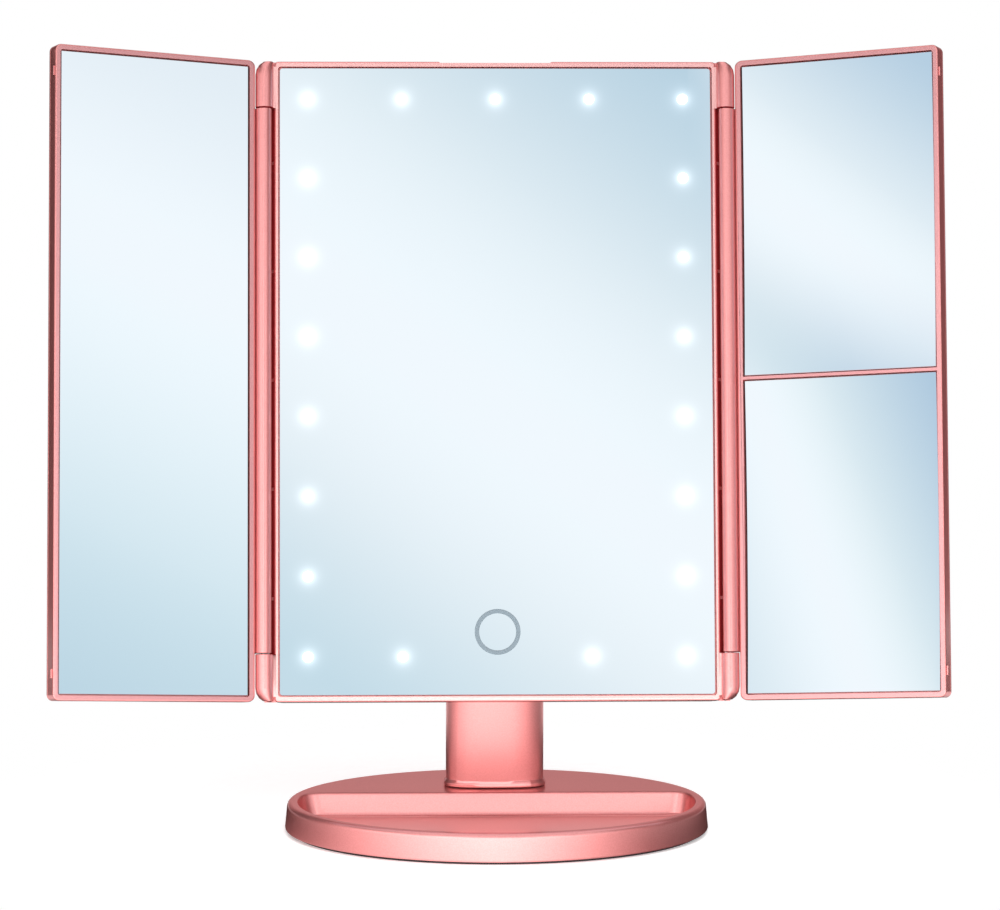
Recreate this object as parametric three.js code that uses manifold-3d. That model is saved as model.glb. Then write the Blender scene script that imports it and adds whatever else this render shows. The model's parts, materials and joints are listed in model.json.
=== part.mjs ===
// Folding light-up vanity mirror: a wide centre mirror with a swinging wing on each side,
// carried behind by a flat column on an oval base with a shallow tray.
// Millimetres, +Z up, front towards -Y, origin under the middle of the base on the table.
// Inside the head group +Y runs backwards from the front of the bezel and +Z up the tilted panel.
// Inside a wing group +X runs outwards from the hinge axis along the wing.

import * as THREE from 'three';
import { mergeVertices } from 'three/addons/utils/BufferGeometryUtils.js';
import Module from 'manifold-3d';

const wasm = await Module();
wasm.setup();

// Gap left between pieces that touch, and the overshoot of a cut past a surface.
const GAP = 0.3;
const OVER = 1;
const WELD = 1e-4;

// Pose shown: the head leans back and both wings are swung forward of flat.
const HEAD_TILT = THREE.MathUtils.degToRad(12.2);
const WING_SWING = THREE.MathUtils.degToRad(26);
const HEAD_FOOT_Y = -13;
const HEAD_FOOT_Z = 52.5;

// Smoothness of round work.
const FINE = 40;
const ROUND = 24;
const SMALL = 10;
const WINDOW_SIDES = 14;
const OVAL = 76;
const EDGE_STEPS = 2;
const HEX = 6;
const SOFT_STEPS = 3;

// Head housing.
const HEAD_HALF = 84.1;
const HEAD_HEIGHT = 243.9;
const HEAD_CORNER = 2.6;
const FRAME_CORNER = 1.3;
const FRAME_DEPTH = 9;
const HEAD_DEPTH = 18;
const COVER_WALL = 2;
const COVER_SOFT = 2.4;
const FRAME_SOFT = 0.6;
const SIDE_RIM = 1.3;
const END_RIM = 2;
const SHELF_FRONT = 2.9;
const SHELF_BACK = 4.7;
const RELIEF_HALF = 21;
const RELIEF_DEPTH = 0.5;
const RELIEF_SLOPE = 1.5;

// Mirror plates.
const GLASS_INSET = 0.6;
const GLASS_THICK = 2;
const GLASS_CORNER = 1;

// Lights behind the centre mirror: eight in each column, three more above and two more below.
const LIGHT_ROWS = 8;
const LIGHT_SIDE = 12.6;
const LIGHT_LOW = 16.9;
const LIGHT_CROWN = 14.4;
const WINDOW_RADIUS = 3.5;
const TUNNEL_RADIUS = 3.2;
const ETCH_DEPTH = 0.15;
const CHIP_HALF = 1.75;
const CHIP_RISE = 1.4;
const BOARD_THICK = 1;
const STRIP_HALF = 3;
const STRIP_END = 5;

// Touch ring low on the centre mirror.
const TOUCH_HEIGHT = 26.2;
const TOUCH_OUTER = 8.65;
const TOUCH_INNER = 7;
const TOUCH_PAD = 7.2;
const LOW_BOARD_END = 9.2;
const LOW_BOARD_FOOT = 12.5;
const LOW_BOARD_TOP = 36;

// Wing hinges: the axis runs just in front of the bezel, so that a wing folds flat over it.
const AXIS_FORWARD = 0.4;
const BARREL_RADIUS = 3.4;
const BARREL_GAP = 0.5;
const KNUCKLE_LENGTH = 18;
const KNUCKLE_DOME = 5.3;
const DOME_LEAN = 1.1;
const WEB_SETBACK = 2.4;
const WEB_DEPTH = 5;
const WEB_END = 2;
const COVE_REACH = 2;
const PIN_RADIUS = 1.2;
const PIN_REACH = 11;
const RIB_COUNT = 5;
const RIB_END = 39;
const RIB_HEIGHT = 1.2;
const RIB_PROUD = 0.2;

// Wings.
const WING_NEAR = 4;
const WING_PARTING = 3;
const WING_DEPTH = 6.8;
const WING_FRAME_DEPTH = 5.2;
const WING_CORNER = 2.4;
const WING_SOFT = 0.6;
const WING_RIM_SIDE = 2;
const WING_SHELF = 1.2;
const WEB_FRONT = 1.4;
const WEB_BACK = 4.8;
const PIP_FRONT = 1;
const PIP_WIDTH = 1.2;
const PIP_PROUD = 0.5;
const PIP_LENGTH = 3.4;
const PIP_END = 10;
const PEG_RADIUS = 1.5;
const PEG_REACH = 1;
const PEG_INSET = 8;
const CROSSBAR_HALF = 0.6;

// The two plates of the right wing are dished to magnify, the lower one more than the upper.
const DISH_THICK = 1.6;
const DISH_SHELF = 3.95;
const UPPER_DISH_RADIUS = 2400;
const LOWER_DISH_RADIUS = 1600;
const DISH_ACROSS = 8;
const DISH_ALONG = 12;

// Screws.
const SCREW_HEAD_RADIUS = 2.8;
const SCREW_HEAD_HEIGHT = 1.6;
const SCREW_RADIUS = 1.3;
const SCREW_LENGTH = 9.6;
const SCREW_TIP = 1.2;
const DRIVE_RADIUS = 1.1;
const DRIVE_DEPTH = 0.8;
const BOSS_RADIUS = 3.2;
const COVER_SCREW_SIDE = 28.1;
const COVER_SCREW_END = 8;
const COVER_SCREW_SEAT = 15.8;

// Battery bay in a raised field of the rear cover.
const BATTERY_COUNT = 4;
const BATTERY_RADIUS = 5.2;
const BATTERY_LENGTH = 43.5;
const BATTERY_BUTTON = 1;
const BATTERY_BUTTON_RADIUS = 1.9;
const BATTERY_STEP = 11;
const BATTERY_DEPTH = 13.85;
const BAY_LOW = 104;
const BAY_WALL = 1.5;
const BAY_FLOOR = 8.3;
const FIELD_BACK = 21;
const FIELD_MARGIN = 8;
const FIELD_SOFT = 1.6;
const DOOR_THICK = 1.6;
const DOOR_MARGIN = 2.4;
const GRIP_COUNT = 4;
const GRIP_STEP = 2.4;
const GRIP_HALF = 9;
const GRIP_WIDTH = 1;
const GRIP_PROUD = 0.6;
const CONTACT_THICK = 0.5;
const CONTACT_BUMP = 0.6;
const CONTACT_HALF_DEPTH = 4;

// Power board with the USB socket and the slide switch, facing the back.
const POWER_BOARD_SIDE = 38.1;
const POWER_BOARD_Z = 22;
const POWER_BOARD_HALF_X = 20;
const POWER_BOARD_HALF_Z = 9;
const POWER_BOARD_FRONT = 8.2;
const POWER_BOARD_BACK = 9.8;
const POST_RADIUS = 1.8;
const SOCKET_OFFSET = 9;
const SOCKET_HALF_X = 3.8;
const SOCKET_HALF_Z = 1.5;
const SOCKET_BACK = 17.4;
const SOCKET_SHEET = 0.4;
const SOCKET_TONGUE_X = 2.6;
const SOCKET_TONGUE_Z = 0.35;
const SWITCH_OFFSET = -9;
const SWITCH_HALF_X = 5.5;
const SWITCH_HALF_Z = 2.6;
const SWITCH_BACK = 15.6;
const SWITCH_WELL = 2;
const SWITCH_TRAVEL = 1;
const KNOB_HALF_X = 1.6;
const KNOB_HALF_Z = 1.4;
const KNOB_BACK = 19.2;

// Tilt joint behind the lower half of the head.
const PIVOT_Y = 28.5;
const PIVOT_Z = 92;
const TONGUE_HALF = 10.4;
const TONGUE_RADIUS = 8;
const LUG_INNER = 11.6;
const LUG_OUTER = 18.9;
const LUG_FLARE = 5;
const LUG_FLARE_REACH = 4;
const SHAFT_RADIUS = 2.5;
const SHAFT_HEAD_RADIUS = 4.4;
const LUG_POCKET = 4.6;
const SHAFT_HEAD = 2.4;
const CAP_THICK = 1.2;
const WASHER_RADIUS = 7;
const SHOULDER_DROP = 9;

// Column.
const NECK_HALF_X = 18.9;
const NECK_HALF_Y = 8;
const NECK_POWER = 3;
const NECK_WALL = 2.2;
const NECK_ROOF = 5;
const FLANGE_PROUD = 0.8;
const FLANGE_HEIGHT = 1.4;
const FLANGE_SLOPE = 1.3;
const NECK_SCREW_X = 11;
const NECK_BOSS_RADIUS = 4;
const NECK_BOSS_HEIGHT = 12;

// Base with its tray.
const BASE_HALF_X = 80.7;
const BASE_HALF_Y = 60.2;
const BASE_TOP = 11.8;
const BASE_TAPER = 0.8;
const BASE_EDGE = 1.8;
const BASE_FOOT_EDGE = 0.5;
const BASE_WALL = 2.6;
const BASE_ROOF = 2.1;
const TRAY_RIM = 5;
const TRAY_BACK = 13.5;
const TRAY_FLOOR = 2.9;
const TRAY_DRAFT = 1.6;
const TRAY_EDGE = 0.9;
const TRAY_FILLET = 1.8;
const TRAY_CORNER = 6;
const TRAY_CORNER_STEPS = 5;
const TRAY_WALL = 2;
const PAD_THICK = 1;
const PAD_INSET = 3;
const PAN_THICK = 2.6;
const PAN_WEB = 0.8;
const PAN_REBATE = 1.3;
const WEIGHT_THICK = 3.2;
const WEIGHT_MARGIN = 1.2;
const FRONT_BOSS_SIDE = 25.7;
const FRONT_BOSS_INSET = 12.5;
const BACK_BOSS_SIDE = 50.7;
const BACK_BOSS_INSET = 14.2;
const BASE_SCREW_LENGTH = 5;

// Levels and places that follow from the sizes above.
const HEAD_MIDDLE = HEAD_HEIGHT / 2;
const GLASS_BACK = GLASS_INSET + GLASS_THICK;
const COVER_FRONT = FRAME_DEPTH + GAP;
const COVER_INNER = HEAD_DEPTH - COVER_WALL;
const STRIP_FRONT = SHELF_BACK + GAP;
const LIGHT_COLUMN = HEAD_HALF - LIGHT_SIDE;
const LIGHT_STEP = LIGHT_COLUMN / 2;
const LIGHT_TOP = HEAD_HEIGHT - LIGHT_CROWN;
const LIGHT_RISE = (LIGHT_TOP - LIGHT_LOW) / (LIGHT_ROWS - 1);
const LOW_BOARD_HALF = LIGHT_STEP + LOW_BOARD_END;
const AXIS_X = HEAD_HALF + BARREL_RADIUS + BARREL_GAP;
const RIB_STEP = (HEAD_HEIGHT - 2 * RIB_END) / (RIB_COUNT - 1);
const BORE_RADIUS = PIN_RADIUS + GAP;
const JOINT_LOW = KNUCKLE_LENGTH;
const JOINT_HIGH = HEAD_HEIGHT - KNUCKLE_LENGTH;
const WING_FAR = AXIS_X - WING_PARTING;
const WING_COVER_FRONT = WING_FRAME_DEPTH + GAP;
const WING_POCKET_NEAR = WING_NEAR + WING_RIM_SIDE;
const WING_POCKET_FAR = WING_FAR - WING_RIM_SIDE;
const SCREW_BORE = SCREW_RADIUS + GAP;
const COVER_SCREW_X = HEAD_HALF - COVER_SCREW_SIDE;
const POWER_BOARD_X = HEAD_HALF - POWER_BOARD_SIDE;
const SOCKET_X = POWER_BOARD_X + SOCKET_OFFSET;
const SWITCH_X = POWER_BOARD_X + SWITCH_OFFSET;
const BAY_HALF = BATTERY_STEP * (BATTERY_COUNT - 1) / 2 + BATTERY_RADIUS + GAP;
const CONTACT_STACK = 2 * GAP + CONTACT_THICK + CONTACT_BUMP;
const BAY_LENGTH = BATTERY_LENGTH + BATTERY_BUTTON + 2 * CONTACT_STACK;
const BAY_HIGH = BAY_LOW + BAY_LENGTH;
const BAY_MIDDLE = BAY_LOW + BAY_LENGTH / 2;
const BASE_FOOT = PAD_THICK + GAP;
const PAN_TOP = BASE_FOOT + PAN_THICK;
const ROOF_UNDER = BASE_TOP - BASE_ROOF;
const CAVITY_FRONT = TRAY_BACK + TRAY_WALL;
const NECK_FOOT = BASE_TOP + GAP;
const NECK_SHOULDER = PIVOT_Z - SHOULDER_DROP;
const PIVOT_DEPTH = (PIVOT_Y - HEAD_FOOT_Y) * Math.cos(HEAD_TILT)
  - (PIVOT_Z - HEAD_FOOT_Z) * Math.sin(HEAD_TILT);
const PIVOT_HEIGHT = (PIVOT_Y - HEAD_FOOT_Y) * Math.sin(HEAD_TILT)
  + (PIVOT_Z - HEAD_FOOT_Z) * Math.cos(HEAD_TILT);

// Colours and finishes.
const look = (color, roughness, metalness) => new THREE.MeshStandardMaterial({ color, roughness, metalness });
const PAINT = look(0xe59a9a, 0.36, 0.5);
const MIRROR = look(0xdcebf5, 0.05, 1);
const STEEL = look(0xb9bcc0, 0.3, 1);
const BRASS = look(0xc9a55c, 0.35, 1);
const CIRCUIT = look(0xf1f1ec, 0.6, 0);
const GREEN_CIRCUIT = look(0x2f6b47, 0.6, 0);
const BLACK = look(0x26262a, 0.5, 0);
const WHITE = look(0xe9e6e1, 0.5, 0);
const CELL = look(0x5a6068, 0.4, 0.6);
const RUBBER = look(0x3a3638, 0.9, 0);
const NYLON = look(0xd8d2c8, 0.6, 0);

// A closed surface as a solid for joining and cutting.
function solidOf(surface) {
  const bare = surface.clone();
  bare.deleteAttribute('normal');
  bare.deleteAttribute('uv');
  const welded = mergeVertices(bare, WELD);
  const corners = welded.index.array;
  const kept = [];
  for (let i = 0; i < corners.length; i += 3) {
    const [a, b, c] = [corners[i], corners[i + 1], corners[i + 2]];
    if (a !== b && b !== c && c !== a) {
      kept.push(a, b, c);
    }
  }
  const vertProperties = new Float32Array(welded.attributes.position.array);
  return new wasm.Manifold(new wasm.Mesh({ numProp: 3, vertProperties, triVerts: new Uint32Array(kept) }));
}

function surfaceOf(solid, mirrored = false) {
  const { vertProperties, triVerts } = solid.getMesh();
  const surface = new THREE.BufferGeometry();
  surface.setAttribute('position', new THREE.BufferAttribute(vertProperties, 3));
  surface.setIndex(new THREE.BufferAttribute(triVerts, 1));
  if (mirrored) {
    surface.scale(-1, 1, 1);
    const corners = surface.index.array;
    for (let i = 0; i < corners.length; i += 3) {
      [corners[i], corners[i + 1]] = [corners[i + 1], corners[i]];
    }
  }
  surface.computeVertexNormals();
  return surface;
}

const joined = (parts) => parts.reduce((whole, part) => whole.add(part));
const around = (middle, half) => [middle - half, middle + half];
const ordered = (a, b) => [Math.min(a, b), Math.max(a, b)];
const outward = (side, near, far) => ordered(side * near, side * far);
const steps = (count) => Array.from({ length: count }, (_, i) => i);

// Angles through a quarter bend, for rounded edges and fillets.
const quarter = (count) => steps(count + 1).map((i) => (i / count) * Math.PI / 2);

// Basic solids. A span is a pair of limits on one axis.
function block([x0, x1], [y0, y1], [z0, z1]) {
  const surface = new THREE.BoxGeometry(x1 - x0, y1 - y0, z1 - z0);
  surface.translate((x0 + x1) / 2, (y0 + y1) / 2, (z0 + z1) / 2);
  return solidOf(surface);
}

function rodX(radius, [x0, x1], y, z, sides = ROUND) {
  const surface = new THREE.CylinderGeometry(radius, radius, x1 - x0, sides);
  surface.rotateZ(-Math.PI / 2);
  surface.translate((x0 + x1) / 2, y, z);
  return solidOf(surface);
}

function rodY(radius, x, [y0, y1], z, sides = ROUND) {
  const surface = new THREE.CylinderGeometry(radius, radius, y1 - y0, sides);
  surface.translate(x, (y0 + y1) / 2, z);
  return solidOf(surface);
}

function rodZ(radius, x, y, [z0, z1], sides = ROUND) {
  const surface = new THREE.CylinderGeometry(radius, radius, z1 - z0, sides);
  surface.rotateX(Math.PI / 2);
  surface.translate(x, y, (z0 + z1) / 2);
  return solidOf(surface);
}

function roundedOutline([x0, x1], [y0, y1], radius) {
  const outline = new THREE.Shape();
  outline.moveTo(x0 + radius, y0);
  outline.lineTo(x1 - radius, y0);
  outline.absarc(x1 - radius, y0 + radius, radius, -Math.PI / 2, 0, false);
  outline.lineTo(x1, y1 - radius);
  outline.absarc(x1 - radius, y1 - radius, radius, 0, Math.PI / 2, false);
  outline.lineTo(x0 + radius, y1);
  outline.absarc(x0 + radius, y1 - radius, radius, Math.PI / 2, Math.PI, false);
  outline.lineTo(x0, y0 + radius);
  outline.absarc(x0 + radius, y0 + radius, radius, Math.PI, 1.5 * Math.PI, false);
  return outline;
}

// An outline in X and Z pushed through a span of Y, with both rims rounded by soft.
function slab(outline, [front, back], soft = 0) {
  const surface = new THREE.ExtrudeGeometry(outline, {
    depth: back - front - 2 * soft,
    bevelEnabled: soft > 0,
    bevelThickness: soft,
    bevelSize: soft,
    bevelOffset: -soft,
    bevelSegments: EDGE_STEPS,
    curveSegments: SOFT_STEPS,
  });
  surface.rotateX(Math.PI / 2);
  surface.translate(0, back - soft, 0);
  return solidOf(surface);
}

// A slab whose front rim alone, or back rim alone, is rounded.
function frontSoftSlab(spanX, spanZ, radius, [front, back], soft) {
  const long = slab(roundedOutline(spanX, spanZ, radius), [front, back + soft + OVER], soft);
  return long.intersect(block(spanX, [front - OVER, back], spanZ));
}

function backSoftSlab(spanX, spanZ, radius, [front, back], soft) {
  const long = slab(roundedOutline(spanX, spanZ, radius), [front - soft - OVER, back], soft);
  return long.intersect(block(spanX, [front, back + OVER], spanZ));
}

// An outline in Y and Z pushed through a span of X.
function cheek(outline, [x0, x1]) {
  const surface = new THREE.ExtrudeGeometry(outline, { depth: x1 - x0, bevelEnabled: false, curveSegments: ROUND / 2 });
  const turn = new THREE.Matrix4().makeBasis(
    new THREE.Vector3(0, 1, 0), new THREE.Vector3(0, 0, 1), new THREE.Vector3(1, 0, 0));
  surface.applyMatrix4(turn);
  surface.translate(x0, 0, 0);
  return solidOf(surface);
}

// A solid through a stack of level rings that all have the same number of points.
function stack(rings) {
  const count = rings[0].length;
  const points = rings.flat();
  const corners = [];
  rings.slice(1).forEach((_, level) => {
    steps(count).forEach((i) => {
      const a = level * count + i;
      const b = level * count + (i + 1) % count;
      corners.push(a, b, b + count, a, b + count, a + count);
    });
  });
  const capMiddle = (ring) => ring.reduce((sum, p) => sum.add(p), new THREE.Vector3()).divideScalar(count);
  const last = rings.length - 1;
  points.push(capMiddle(rings[0]), capMiddle(rings[last]));
  steps(count).forEach((i) => {
    const next = (i + 1) % count;
    corners.push(points.length - 2, next, i);
    corners.push(points.length - 1, last * count + i, last * count + next);
  });
  const surface = new THREE.BufferGeometry().setFromPoints(points);
  surface.setIndex(corners);
  return solidOf(surface);
}

function turned(profile, sides) {
  return new THREE.LatheGeometry(profile.map(([r, h]) => new THREE.Vector2(r, h)), sides);
}

// Screw with a low domed head and a round drive recess, head at the origin, shank along +Z.
function screw(length) {
  const surface = turned([
    [0, 0],
    [SCREW_HEAD_RADIUS - SCREW_HEAD_HEIGHT / 2, 0],
    [SCREW_HEAD_RADIUS, SCREW_HEAD_HEIGHT / 2],
    [SCREW_HEAD_RADIUS, SCREW_HEAD_HEIGHT],
    [SCREW_RADIUS, SCREW_HEAD_HEIGHT],
    [SCREW_RADIUS, SCREW_HEAD_HEIGHT + length - SCREW_TIP],
    [0, SCREW_HEAD_HEIGHT + length],
  ], SMALL);
  surface.rotateX(Math.PI / 2);
  const drive = rodZ(DRIVE_RADIUS, 0, 0, [-OVER, DRIVE_DEPTH], HEX);
  return solidOf(surface).subtract(drive);
}

// Places of the lights, strip by strip, as pairs across and up.
function lightPlaces() {
  const rows = steps(LIGHT_ROWS).map((row) => LIGHT_LOW + row * LIGHT_RISE);
  return {
    left: rows.map((z) => [-LIGHT_COLUMN, z]),
    right: rows.map((z) => [LIGHT_COLUMN, z]),
    top: [-1, 0, 1].map((i) => [i * LIGHT_STEP, LIGHT_TOP]),
    bottom: [-1, 1].map((i) => [i * LIGHT_STEP, LIGHT_LOW]),
  };
}

const LIGHTS = lightPlaces();
const COVER_SCREWS = [COVER_SCREW_END, HEAD_MIDDLE, HEAD_HEIGHT - COVER_SCREW_END]
  .flatMap((z) => [[-COVER_SCREW_X, z], [COVER_SCREW_X, z]]);

// Fixed knuckle of a wing hinge: a barrel whose domed end leans to the frame, and a web that is
// flush with the front of the frame but for a notch beside the dome.
function knuckle(side, top) {
  const dome = quarter(SOFT_STEPS + 1).map((angle) => (
    [BARREL_RADIUS * Math.sin(angle), KNUCKLE_DOME * (1 - Math.cos(angle))]));
  const surface = turned([...dome, [BARREL_RADIUS, KNUCKLE_LENGTH], [0, KNUCKLE_LENGTH]], ROUND);
  surface.rotateX(Math.PI / 2);
  const places = surface.attributes.position;
  steps(places.count).forEach((i) => {
    const share = Math.max(1 - places.getZ(i) / KNUCKLE_DOME, 0);
    places.setX(i, places.getX(i) - side * DOME_LEAN * share ** 2);
  });
  if (top) {
    surface.rotateX(Math.PI);
    surface.translate(0, 0, HEAD_HEIGHT);
  }
  surface.translate(side * AXIS_X, -AXIS_FORWARD, 0);
  const [end, joint] = top ? [HEAD_HEIGHT, JOINT_HIGH] : [0, JOINT_LOW];
  const reach = outward(side, HEAD_HALF - SIDE_RIM / 2, AXIS_X);
  const flush = ordered(top ? end - WEB_END : end + WEB_END, joint);
  return joined([
    solidOf(surface),
    block(reach, [WEB_SETBACK, WEB_DEPTH], ordered(end, joint)),
    block(reach, [0, WEB_DEPTH], flush),
  ]);
}

function pinSpan(top) {
  const joint = top ? JOINT_HIGH : JOINT_LOW;
  return around(joint, PIN_REACH);
}

function pinBore(x, y, top) {
  const [low, high] = pinSpan(top);
  return rodZ(BORE_RADIUS, x, y, [low - GAP, high + GAP], SMALL);
}

// Hollow ledge along the side of the frame that the wing barrel turns in, with small guide ribs.
function hingeCove(side) {
  const reach = outward(side, HEAD_HALF - SIDE_RIM / 2, HEAD_HALF + COVE_REACH);
  const turning = (radius) => rodZ(radius, side * AXIS_X, -AXIS_FORWARD, [0, HEAD_HEIGHT]);
  const ledge = block(reach, [FRAME_SOFT, FRAME_DEPTH], [JOINT_LOW, JOINT_HIGH])
    .subtract(turning(BARREL_RADIUS + BARREL_GAP));
  const ribs = joined(steps(RIB_COUNT).map((i) => (
    block(reach, [FRAME_SOFT, FRAME_DEPTH / 2], around(RIB_END + i * RIB_STEP, RIB_HEIGHT / 2)))));
  return ledge.add(ribs.subtract(turning(BARREL_RADIUS + BARREL_GAP - RIB_PROUD)));
}

// Shallow finger relief along the middle of the upper edge.
function fingerRelief() {
  const outline = new THREE.Shape();
  outline.moveTo(-RELIEF_HALF, HEAD_HEIGHT - RELIEF_DEPTH);
  outline.lineTo(RELIEF_HALF, HEAD_HEIGHT - RELIEF_DEPTH);
  outline.lineTo(RELIEF_HALF + RELIEF_SLOPE, HEAD_HEIGHT + OVER);
  outline.lineTo(-RELIEF_HALF - RELIEF_SLOPE, HEAD_HEIGHT + OVER);
  return slab(outline, [-OVER, FRAME_DEPTH + OVER]);
}

function headFrontFrame() {
  const spanX = around(0, HEAD_HALF);
  const spanZ = [0, HEAD_HEIGHT];
  const innerX = around(0, HEAD_HALF - SIDE_RIM);
  const innerZ = [END_RIM, HEAD_HEIGHT - END_RIM];
  let frame = frontSoftSlab(spanX, spanZ, FRAME_CORNER, [0, FRAME_DEPTH], FRAME_SOFT);
  frame = frame.subtract(slab(roundedOutline(innerX, innerZ, GLASS_CORNER), [-OVER, SHELF_FRONT]));
  frame = frame.subtract(block(innerX, [SHELF_BACK, FRAME_DEPTH + OVER], innerZ));
  frame = frame.subtract(fingerRelief());
  [-1, 1].forEach((side) => {
    frame = frame.add(joined([knuckle(side, false), knuckle(side, true), hingeCove(side)]));
    [false, true].forEach((top) => {
      frame = frame.subtract(pinBore(side * AXIS_X, -AXIS_FORWARD, top));
    });
  });
  Object.values(LIGHTS).flat().forEach(([x, z]) => {
    frame = frame.subtract(rodY(TUNNEL_RADIUS, x, [0, FRAME_DEPTH], z, SMALL));
  });
  frame = frame.subtract(rodY(TOUCH_PAD + GAP, 0, [0, FRAME_DEPTH], TOUCH_HEIGHT));
  COVER_SCREWS.forEach(([x, z]) => {
    frame = frame.add(rodY(BOSS_RADIUS, x, [SHELF_FRONT, FRAME_DEPTH], z, SMALL));
    frame = frame.subtract(rodY(SCREW_BORE, x, [SHELF_BACK, FRAME_DEPTH + OVER], z, SMALL));
  });
  return frame;
}

// Centre mirror with frosted windows over the lights and a frosted touch ring.
function centreGlass() {
  const spanX = around(0, HEAD_HALF - SIDE_RIM - GAP);
  const spanZ = [END_RIM + GAP, HEAD_HEIGHT - END_RIM - GAP];
  let glass = slab(roundedOutline(spanX, spanZ, GLASS_CORNER), [GLASS_INSET, GLASS_BACK]);
  const etched = [GLASS_INSET - OVER, GLASS_INSET + ETCH_DEPTH];
  Object.values(LIGHTS).flat().forEach(([x, z]) => {
    glass = glass.subtract(rodY(WINDOW_RADIUS, x, etched, z, WINDOW_SIDES));
  });
  const ring = rodY(TOUCH_OUTER, 0, etched, TOUCH_HEIGHT, FINE)
    .subtract(rodY(TOUCH_INNER, 0, [GLASS_INSET - 2 * OVER, GLASS_BACK], TOUCH_HEIGHT, FINE));
  return glass.subtract(ring);
}

function chips(places) {
  const depth = [STRIP_FRONT - CHIP_RISE, STRIP_FRONT + BOARD_THICK / 2];
  return places.map(([x, z]) => block(around(x, CHIP_HALF), depth, around(z, CHIP_HALF)));
}

function lightStrip(places) {
  const xs = places.map(([x]) => x);
  const zs = places.map(([, z]) => z);
  const upright = Math.max(...xs) === Math.min(...xs);
  const [endX, endZ] = upright ? [STRIP_HALF, STRIP_END] : [STRIP_END, STRIP_HALF];
  const board = block(
    [Math.min(...xs) - endX, Math.max(...xs) + endX],
    [STRIP_FRONT, STRIP_FRONT + BOARD_THICK],
    [Math.min(...zs) - endZ, Math.max(...zs) + endZ]);
  return joined([board, ...chips(places)]);
}

// Lower board: two of the lights and the round touch pad that reaches up to the glass.
function touchBoard() {
  const depth = [STRIP_FRONT, STRIP_FRONT + BOARD_THICK];
  const board = block(around(0, LOW_BOARD_HALF), depth, [LOW_BOARD_FOOT, LOW_BOARD_TOP]);
  const pad = rodY(TOUCH_PAD, 0, [GLASS_BACK + GAP, STRIP_FRONT + BOARD_THICK / 2], TOUCH_HEIGHT);
  return joined([board, pad, ...chips(LIGHTS.bottom)]);
}

// One lug of the tilt joint, standing back from the cover with a flared root.
function tiltLug(side) {
  const [low, high] = around(PIVOT_HEIGHT, TONGUE_RADIUS);
  const root = COVER_INNER;
  const flare = HEAD_DEPTH + LUG_FLARE_REACH;
  const outline = new THREE.Shape();
  outline.moveTo(root, low - LUG_FLARE);
  outline.lineTo(HEAD_DEPTH, low - LUG_FLARE);
  outline.quadraticCurveTo(HEAD_DEPTH, low, flare, low);
  outline.lineTo(PIVOT_DEPTH, low);
  outline.absarc(PIVOT_DEPTH, PIVOT_HEIGHT, TONGUE_RADIUS, -Math.PI / 2, Math.PI / 2, false);
  outline.lineTo(flare, high);
  outline.quadraticCurveTo(HEAD_DEPTH, high, HEAD_DEPTH, high + LUG_FLARE);
  outline.lineTo(root, high + LUG_FLARE);
  const span = outward(side, LUG_INNER, LUG_OUTER);
  const pocket = outward(side, LUG_OUTER - LUG_POCKET, LUG_OUTER + OVER);
  return cheek(outline, span)
    .subtract(rodX(SHAFT_RADIUS + GAP, around(0, LUG_OUTER + OVER), PIVOT_DEPTH, PIVOT_HEIGHT, SMALL))
    .subtract(rodX(SHAFT_HEAD_RADIUS + GAP, pocket, PIVOT_DEPTH, PIVOT_HEIGHT));
}

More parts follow.
